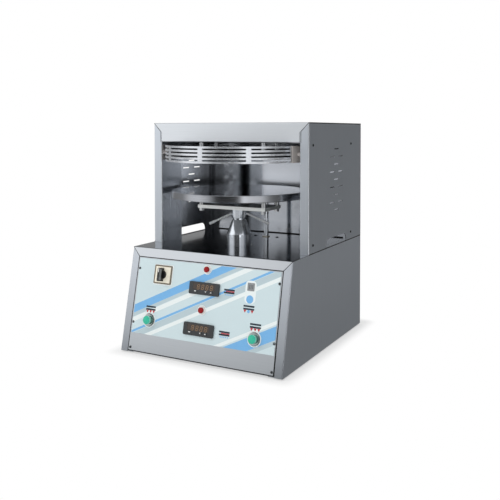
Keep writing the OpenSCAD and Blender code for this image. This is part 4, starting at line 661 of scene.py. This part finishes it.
FIGURE_STEP, FIGURE_SHIFT, FIGURE_ROW, KEY_ROW = 11.5, 2.3, 2.7, -7
KEY_MARKS = (("set", bar(5, 1.6), -22), ("down", arrow(4, 2.6, -1), 6), ("up", arrow(4, 2.6, 1), 19.5))
figures = [grid for x, s in CONTROLLERS for k in (-1.5, -0.5, 0.5, 1.5)
           for grid in figure(x + FIGURE_SHIFT + FIGURE_STEP * k, s + FIGURE_ROW)]
piece("unlit_figures", figures, digit_ink, "cabinet")
for row, (x, s) in zip(("upper", "lower"), CONTROLLERS):
    for key, shape, side in KEY_MARKS:
        mark = [printed(shape, (x + side, s + KEY_ROW), KEY_OUT)]
        piece(f"{row}_{key}_mark", mark, mark_ink, f"{row}_{key}_key")


# Painted shadows in gaps and seams, and screws

# Painted shadow in the gap round the control panel: 1.35 mm of gap and a little of it lying on the panel's border,
# more of it towards the bottom on the right, and a line along the bottom hem.
PANEL_HALF, PANEL_LOW, PANEL_TOP = 191.1, 2.0, 221.1
SHADOW_HALF, SHADOW_TOP = PANEL_HALF + 1.35, PANEL_TOP + 1.2
SHADOW_OUT, SHADOW_THICK, SHADOW_WIDE, SHADOW_WIDE_LOW = -1.2, 1.35, 1.9, 3.3
left_edge = rectangle((-SHADOW_HALF, PANEL_LOW), (-SHADOW_HALF + SHADOW_WIDE, SHADOW_TOP))
right_edge = [[SHADOW_HALF - SHADOW_WIDE_LOW, PANEL_LOW], [SHADOW_HALF, PANEL_LOW],
              [SHADOW_HALF, SHADOW_TOP], [SHADOW_HALF - SHADOW_WIDE, SHADOW_TOP]]
top_edge = rectangle((-SHADOW_HALF, PANEL_TOP - 0.8), (SHADOW_HALF, PANEL_TOP + 1.3))
hem_line = rectangle((-PANEL_HALF, PANEL_LOW + 0.2), (PANEL_HALF, PANEL_LOW + 2.4))
edges = [printed(edge, (0, 0), SHADOW_OUT, SHADOW_THICK) for edge in (left_edge, right_edge, top_edge)]
edges.append(printed(hem_line, (0, 0), -0.1, 0.25))
piece("panel_edge_painted_shadow", edges, shadow_black, "cabinet")

# Painted shadow in the mitres and butted seams of the sheet, 1 to 2.4 mm wide and nearly flush.
SLOPE = math.hypot(PANEL_RUN, PANEL_RISE)
MITRE_S, MITRE_Z = 222.3, 518.7  # inner ends of the mitres on the panel's flange and on the hood's front
DECK_SEAM_Z, EDGE_Z, EDGE_Y = 241.3, 538.7, 229.1
WALL_SEAM_X, WALL_SEAM_Z, BACK_SEAM_X, BACK_SEAM_Z = 189, 242.2, 209.5, 519.8
SEAM_OUT, SEAM_THIN, SEAM_THICK, CORNER = -0.3, 0.33, 0.36, 0.5
seams = []
for side in (-1, 1):
    corner, inner = side * (HALF_WIDTH - CORNER), side * (HALF_WIDTH - FLANGE)
    for face, start, end, width in ((PANEL, (corner, SLOPE - CORNER), (inner, MITRE_S), 1.3),
                                    (HOOD_FRONT, (corner, TOP_Z - CORNER), (inner, MITRE_Z), 1.1),
                                    (HOOD_FRONT, (inner, MITRE_Z), (inner, HEADER_Z), 1.0)):
        seams.append(stroke(start, end, width, SEAM_OUT, SEAM_THIN, face))
for face, way in SIDES:
    for start, end, width in (((way * HOOD_Y, DECK_SEAM_Z), (way * BACK_Y, DECK_SEAM_Z), 2.2),
                              ((way * (HOOD_Y + 1), EDGE_Z), (way * BACK_Y, EDGE_Z), 2.4),
                              ((way * EDGE_Y, DECK_Z + 2), (way * EDGE_Y, EDGE_Z), 1.7)):
        seams.append(stroke(start, end, width, SEAM_OUT, SEAM_THICK, face))
seams.append(stroke((-WALL_SEAM_X, WALL_SEAM_Z), (WALL_SEAM_X, WALL_SEAM_Z), 2.4, -0.1, 0.6, INNER_BACK))
seams.append(stroke((-BACK_SEAM_X, BACK_SEAM_Z), (BACK_SEAM_X, BACK_SEAM_Z), 1.4, SEAM_OUT, SEAM_THIN, BACK_PANEL))
piece("sheet_seam_painted_shadows", seams, shadow_black, "cabinet")


def screw_head(face, x, s, spin, size=1.0):
    """Pan head with a cross recess: rings of 16 points, of which the recess ring swings between arm and lobe."""
    turn = np.radians(spin + np.add.outer(90 * np.arange(4), [-22, 0, 22, 45]).ravel())
    recess = size * np.tile([1.55, 1.8, 1.55, 0.62], 4)
    flat = size * np.ones(16)
    radius = np.stack([3.0 * flat, 3.0 * flat, 2.3 * flat, recess, 0.9 * recess, 0 * flat])
    height = np.array([0.0, 0.75, 1.25, 1.4, 0.5, 0.5])[:, None]
    return face.point(x + radius * np.cos(turn), s + radius * np.sin(turn), height)


PANEL_SCREW_X, PANEL_SCREW_S = 185.5, (10.7, 69.0, 194.1)
SIDE_SCREW_Y, SIDE_SCREW_Z = (-93, 154), (260, 488)
BACK_SCREW_X, BACK_SCREW_Z = 203.5, (63, 211, 271, 490)
BUSH_SCREW_X, BUSH_SCREW_Y, BUSH_SCREW_SIZE = 32, 89.5, 1.4
SPIN = 37  # degrees from one screw's cross to the next one's, as if driven by hand
heads = [(PANEL, side * PANEL_SCREW_X, s) for side in (-1, 1) for s in PANEL_SCREW_S]
piece("panel_screw_heads", [screw_head(*place, SPIN * k) for k, place in enumerate(heads)], screw_steel, "cabinet",
      stands_for=["cabinet_screws"])
heads = [(face, way * y, z) for face, way in SIDES for y in SIDE_SCREW_Y for z in SIDE_SCREW_Z]
heads += [(BACK_PANEL, side * BACK_SCREW_X, z) for side in (-1, 1) for z in BACK_SCREW_Z]
screws = [screw_head(*place, SPIN * k) for k, place in enumerate(heads)]
screws += [screw_head(DECK, side * BUSH_SCREW_X, BUSH_SCREW_Y, 15 * side, BUSH_SCREW_SIZE) for side in (-1, 1)]
piece("cabinet_screw_heads", screws, black_screw, "cabinet")


# Lamps, buttons and switch

# Lamp lenses, and button caps with a green face over a side wall paled as painted light, as (radius, height)
# about the panel's normal.
lens = filleted([(0, 1.2), (6.5, 1.2), (6.5, 7.2), (5.4, 7.8), (0, 8.0)], 0.8)
cap = filleted([(0, 11.8), (9.3, 11.8), (9.3, 12.8), (0, 13.3)], 0.5)
skirt = filleted([(0, -4), (8.6, -4), (8.6, 5.3), (9.6, 5.3), (9.55, 12.4), (0, 12.4)], 0.4)
piece("lamp_domes", [turned(lens, PANEL.point(x, s), OUT_OF_PANEL, 40) for x, s in LAMPS], red_lens, "cabinet",
      stands_for=["lamp_lenses"])
for side, (x, s) in zip(("left", "right"), BUTTONS):
    piece(f"{side}_button_cap", [turned(cap, PANEL.point(x, s), OUT_OF_PANEL, 64)], green_lens, f"{side}_button",
          stands_for=[f"{side}_button"])
    piece(f"{side}_button_skirt", [turned(skirt, PANEL.point(x, s), OUT_OF_PANEL, 64)], lens_painted_light, f"{side}_button")

# White mark on the front of the switch knob's grip, and grey strips on its two flanks.
GRIP_HALF, GRIP_OUT, MARK_UP, FLANK_GREY_OUT = 2.75, 21.6, 9.5, 17.3
mark = [printed(bar(1.8, 9), (SWITCH[0], SWITCH[1] + MARK_UP), GRIP_OUT)]
piece("knob_mark", mark, mark_ink, "switch_knob")
flanks = [Plane(PANEL.point(SWITCH[0] + way * GRIP_HALF, SWITCH[1]), way * UP_SLOPE, OUT_OF_PANEL) for way in (1, -1)]
piece("knob_flank_grey", [printed(bar(25, 7.6), (0, FLANK_GREY_OUT), 0, face=flank) for flank in flanks], timer_plastic,
      "switch_knob")


# Light, floor and camera

# The studio that metal mirrors. Brightness of its walls by compass: degrees to the left of the front, and how white
# the wall is there. Between the two bright walls at the front is a dark doorway.
STUDIO_WALLS = [
    (-165, 0.18), (-150, 0.21), (-125, 0.22), (-95, 0.15), (-80, 0.30), (-68, 0.95), (-42, 1.15), (-36.5, 1.9),
    (-34, 1.7), (-31.5, 0.05), (10, 0.03), (21, 0.90), (28, 1.28), (38, 1.38), (62, 1.3), (76, 0.5), (100, 0.28),
    (132, 0.35), (140, 0.42), (150, 0.42), (158, 0.35),
]
STUDIO_BEHIND, STUDIO_FLOOR, STUDIO_CEILING = 0.14, 0.65, 0.6
STUDIO_LOW, STUDIO_LOW_LEFT = 0.45, 0.65  # share of the walls' brightness low at the front, and far to the left
STUDIO_LIGHT = 0.55  # even light on paint and plastic
# Where one part of the studio turns into the next, as the share of a direction that lies along Z, Y or X.
CEILING_Z, LOW_Z, FLOOR_Z = (0.35, 0.9), (-0.11, -0.05), (-0.24, -0.36)
BEHIND_Y, RIGHT_X, FAR_LEFT_X = (-0.3, 0.0), (-0.1, 0.1), (-0.60, -0.45)
# The floor in metres: depth of the shadow on it and its reach, the part's half width and half depth, the disc's
# rings, and the table that metal mirrors in its place, from where it starts to fade to where it ends.
FLOOR_SHADE, FLOOR_FADE, FOOTPRINT = 0.5, 0.04, (0.213, 0.252, 0)
FLOOR_RINGS, FLOOR_SIDES = (0.0, 0.5, 1.0, 2.0, 4.0), 64
TABLE_TONE, TABLE_FADE = 0.21, (0.15, 0.8)
WHITE, PALE = (1, 1, 1, 1), (0.86, 0.86, 0.86, 1)


def studio():
    """World: white to the camera, an even soft light on paint and plastic, and to metal and clear plastic
    the studio's own walls, whose brightness goes by the compass and turns into the ceiling's and the floor's."""
    world = bpy.data.worlds.new("studio")
    bpy.context.scene.world = world
    world.use_nodes = True
    tree = world.node_tree
    tree.nodes.clear()
    way = add(tree, "ShaderNodeSeparateXYZ", {0: add(tree, "ShaderNodeTexCoord").outputs["Generated"]})
    ahead = add(tree, "ShaderNodeMath", {0: way.outputs["Y"], 1: -1.0}, operation="MULTIPLY").outputs[0]
    leftwards = add(tree, "ShaderNodeMath", {0: way.outputs["X"], 1: -1.0}, operation="MULTIPLY").outputs[0]
    compass = add(tree, "ShaderNodeMath", {0: leftwards, 1: ahead}, operation="ARCTAN2").outputs[0]
    turn = add(tree, "ShaderNodeMapRange", {"Value": compass, "From Min": -math.pi, "From Max": math.pi}).outputs[0]
    ramp = add(tree, "ShaderNodeValToRGB", {"Fac": turn})
    stops = ramp.color_ramp.elements
    stops[0].color = stops[1].color = (STUDIO_BEHIND,) * 3 + (1,)
    for degrees, level in STUDIO_WALLS:
        stops.new(degrees / 360 + 0.5).color = (level, level, level, 1)
    # Low at the front the walls are darker, but not on the right or behind, and less so far to the left.
    low = add(tree, "ShaderNodeMapRange", {"Value": way.outputs["Z"], "From Min": LOW_Z[0], "From Max": LOW_Z[1],
                                           "To Min": STUDIO_LOW, "To Max": 1.0}).outputs["Result"]
    behind = add(tree, "ShaderNodeMapRange", {"Value": way.outputs["Y"], "From Min": BEHIND_Y[0],
                                              "From Max": BEHIND_Y[1]}).outputs["Result"]
    right = add(tree, "ShaderNodeMapRange", {"Value": way.outputs["X"], "From Min": RIGHT_X[0],
                                             "From Max": RIGHT_X[1]}).outputs["Result"]
    far_left = add(tree, "ShaderNodeMapRange", {"Value": way.outputs["X"], "From Min": FAR_LEFT_X[0],
                                                "From Max": FAR_LEFT_X[1], "To Min": STUDIO_LOW_LEFT,
                                                "To Max": 0.0}).outputs["Result"]
    kept = add(tree, "ShaderNodeMath", {0: behind, 1: right}, operation="MAXIMUM").outputs[0]
    kept = add(tree, "ShaderNodeMath", {0: far_left, 1: kept}, operation="MAXIMUM").outputs[0]
    kept = add(tree, "ShaderNodeMath", {0: low, 1: kept}, operation="MAXIMUM").outputs[0]
    walls = add(tree, "ShaderNodeMath", {0: ramp.outputs["Color"], 1: kept}, operation="MULTIPLY").outputs[0]
    for (start, end), level in ((FLOOR_Z, STUDIO_FLOOR), (CEILING_Z, STUDIO_CEILING)):
        share = add(tree, "ShaderNodeMapRange", {"Value": way.outputs["Z"], "From Min": start, "From Max": end},
                    interpolation_type="SMOOTHSTEP").outputs["Result"]
        walls = add(tree, "ShaderNodeMix", {"Factor": share, "A": walls, "B": level}).outputs["Result"]
    ray = add(tree, "ShaderNodeLightPath")
    mirrored = add(tree, "ShaderNodeMath", {0: ray.outputs["Is Glossy Ray"], 1: ray.outputs["Is Transmission Ray"]},
                   use_clamp=True).outputs[0]
    shown = add(tree, "ShaderNodeMix", {"Factor": mirrored, "A": STUDIO_LIGHT, "B": walls}).outputs["Result"]
    level = add(tree, "ShaderNodeMix", {"Factor": ray.outputs["Is Camera Ray"], "A": shown,
                                        "B": 1.0}).outputs["Result"]
    room = add(tree, "ShaderNodeBackground", {"Color": WHITE, "Strength": level})
    add(tree, "ShaderNodeOutputWorld", {"Surface": room.outputs[0]})


def look_at(obj, place, aim):
    """Puts obj at place with its -Z axis towards aim and its Y axis upwards."""
    obj.location = place
    obj.rotation_euler = (Vector(aim) - Vector(place)).to_track_quat("-Z", "Y").to_euler()


def soft_box(name, place, aim, size, watts):
    """Square area lamp at place that faces aim and that metal doesn't mirror."""
    lamp = bpy.data.lights.new(name, "AREA")
    lamp.size, lamp.energy = size, watts
    obj = new_object(name, lamp)
    obj.visible_glossy = False
    look_at(obj, place, aim)


def floor():
    """White disc under the part that keeps a soft shadow near it and fades to plain white around. Metal mirrors it
    as a grey table that ends a little way off."""
    material, tree, place = blank("white_studio_floor")
    beside = add(tree, "ShaderNodeVectorMath", {0: place}, operation="ABSOLUTE").outputs[0]
    beside = add(tree, "ShaderNodeVectorMath", {0: beside, 1: FOOTPRINT}, operation="SUBTRACT").outputs[0]
    beside = add(tree, "ShaderNodeVectorMath", {0: beside, 1: (0, 0, 0)}, operation="MAXIMUM").outputs[0]
    reach = add(tree, "ShaderNodeVectorMath", {0: beside}, operation="LENGTH").outputs["Value"]
    near = add(tree, "ShaderNodeMapRange", {"Value": reach, "From Min": 0.0, "From Max": FLOOR_FADE,
                                            "To Min": FLOOR_SHADE, "To Max": 0.0},
               interpolation_type="SMOOTHSTEP").outputs["Result"]
    lit = add(tree, "ShaderNodeBsdfDiffuse", {"Color": PALE}).outputs[0]
    white = add(tree, "ShaderNodeEmission", {"Color": WHITE, "Strength": 1.0}).outputs[0]
    seen = add(tree, "ShaderNodeMixShader", {0: near, 1: white, 2: lit}).outputs[0]
    past = add(tree, "ShaderNodeMapRange", {"Value": reach, "From Min": TABLE_FADE[0], "From Max": TABLE_FADE[1]},
               interpolation_type="SMOOTHSTEP").outputs["Result"]
    table = add(tree, "ShaderNodeEmission", {"Color": WHITE, "Strength": TABLE_TONE}).outputs[0]
    clear = add(tree, "ShaderNodeBsdfTransparent").outputs[0]
    table = add(tree, "ShaderNodeMixShader", {0: past, 1: table, 2: clear}).outputs[0]
    ray = add(tree, "ShaderNodeLightPath")
    mirrored = add(tree, "ShaderNodeMixShader", {0: ray.outputs["Is Glossy Ray"], 1: lit, 2: table}).outputs[0]
    mix = add(tree, "ShaderNodeMixShader", {0: ray.outputs["Is Camera Ray"], 1: mirrored, 2: seen}).outputs[0]
    add(tree, "ShaderNodeOutputMaterial", {"Surface": mix})
    turn = np.linspace(0, 2 * np.pi, FLOOR_SIDES, endpoint=False)
    ring = np.stack([np.cos(turn), np.sin(turn), 0 * turn], -1)
    grid = np.array(FLOOR_RINGS)[:, None, None] * ring
    new_object("floor", mesh_of("floor", [grid], material))


# The photograph's camera, fitted to the corners of the machine.
PHOTO_PX, FOCUS_PX, SHIFT_PX = 500, 691.254, (-7.57, -100.44)
CAMERA_PLACE = np.array([0.82894, -1.53678, 0.52103])
YAW, PITCH = math.radians(27.7321), math.radians(1.5676)  # to the left, and down
SENSOR = 36.0


def camera():
    """Camera at the photograph's place, turned by its yaw and pitch, with its focus and its shifted frame."""
    data = bpy.data.cameras.new("camera")
    data.sensor_width = SENSOR
    data.lens = SENSOR * FOCUS_PX / PHOTO_PX
    data.shift_x, data.shift_y = (shift / PHOTO_PX for shift in SHIFT_PX)
    data.clip_end = 50
    obj = new_object("camera", data)
    ahead = np.array([-math.sin(YAW) * math.cos(PITCH), math.cos(YAW) * math.cos(PITCH), -math.sin(PITCH)])
    look_at(obj, CAMERA_PLACE, CAMERA_PLACE + ahead)
    bpy.context.scene.camera = obj


studio()
floor()
camera()
MIDDLE = (0, 0, 0.3)
soft_box("key_box", (-1.5, -1.6, 1.7), MIDDLE, 1.4, 16)
soft_box("fill_box", (0.3, -2.0, 0.6), MIDDLE, 1.0, 12)
soft_box("top_box", (0.0, 0.1, 2.0), MIDDLE, 1.2, 8)
bpy.context.scene.view_settings.view_transform = "Standard"
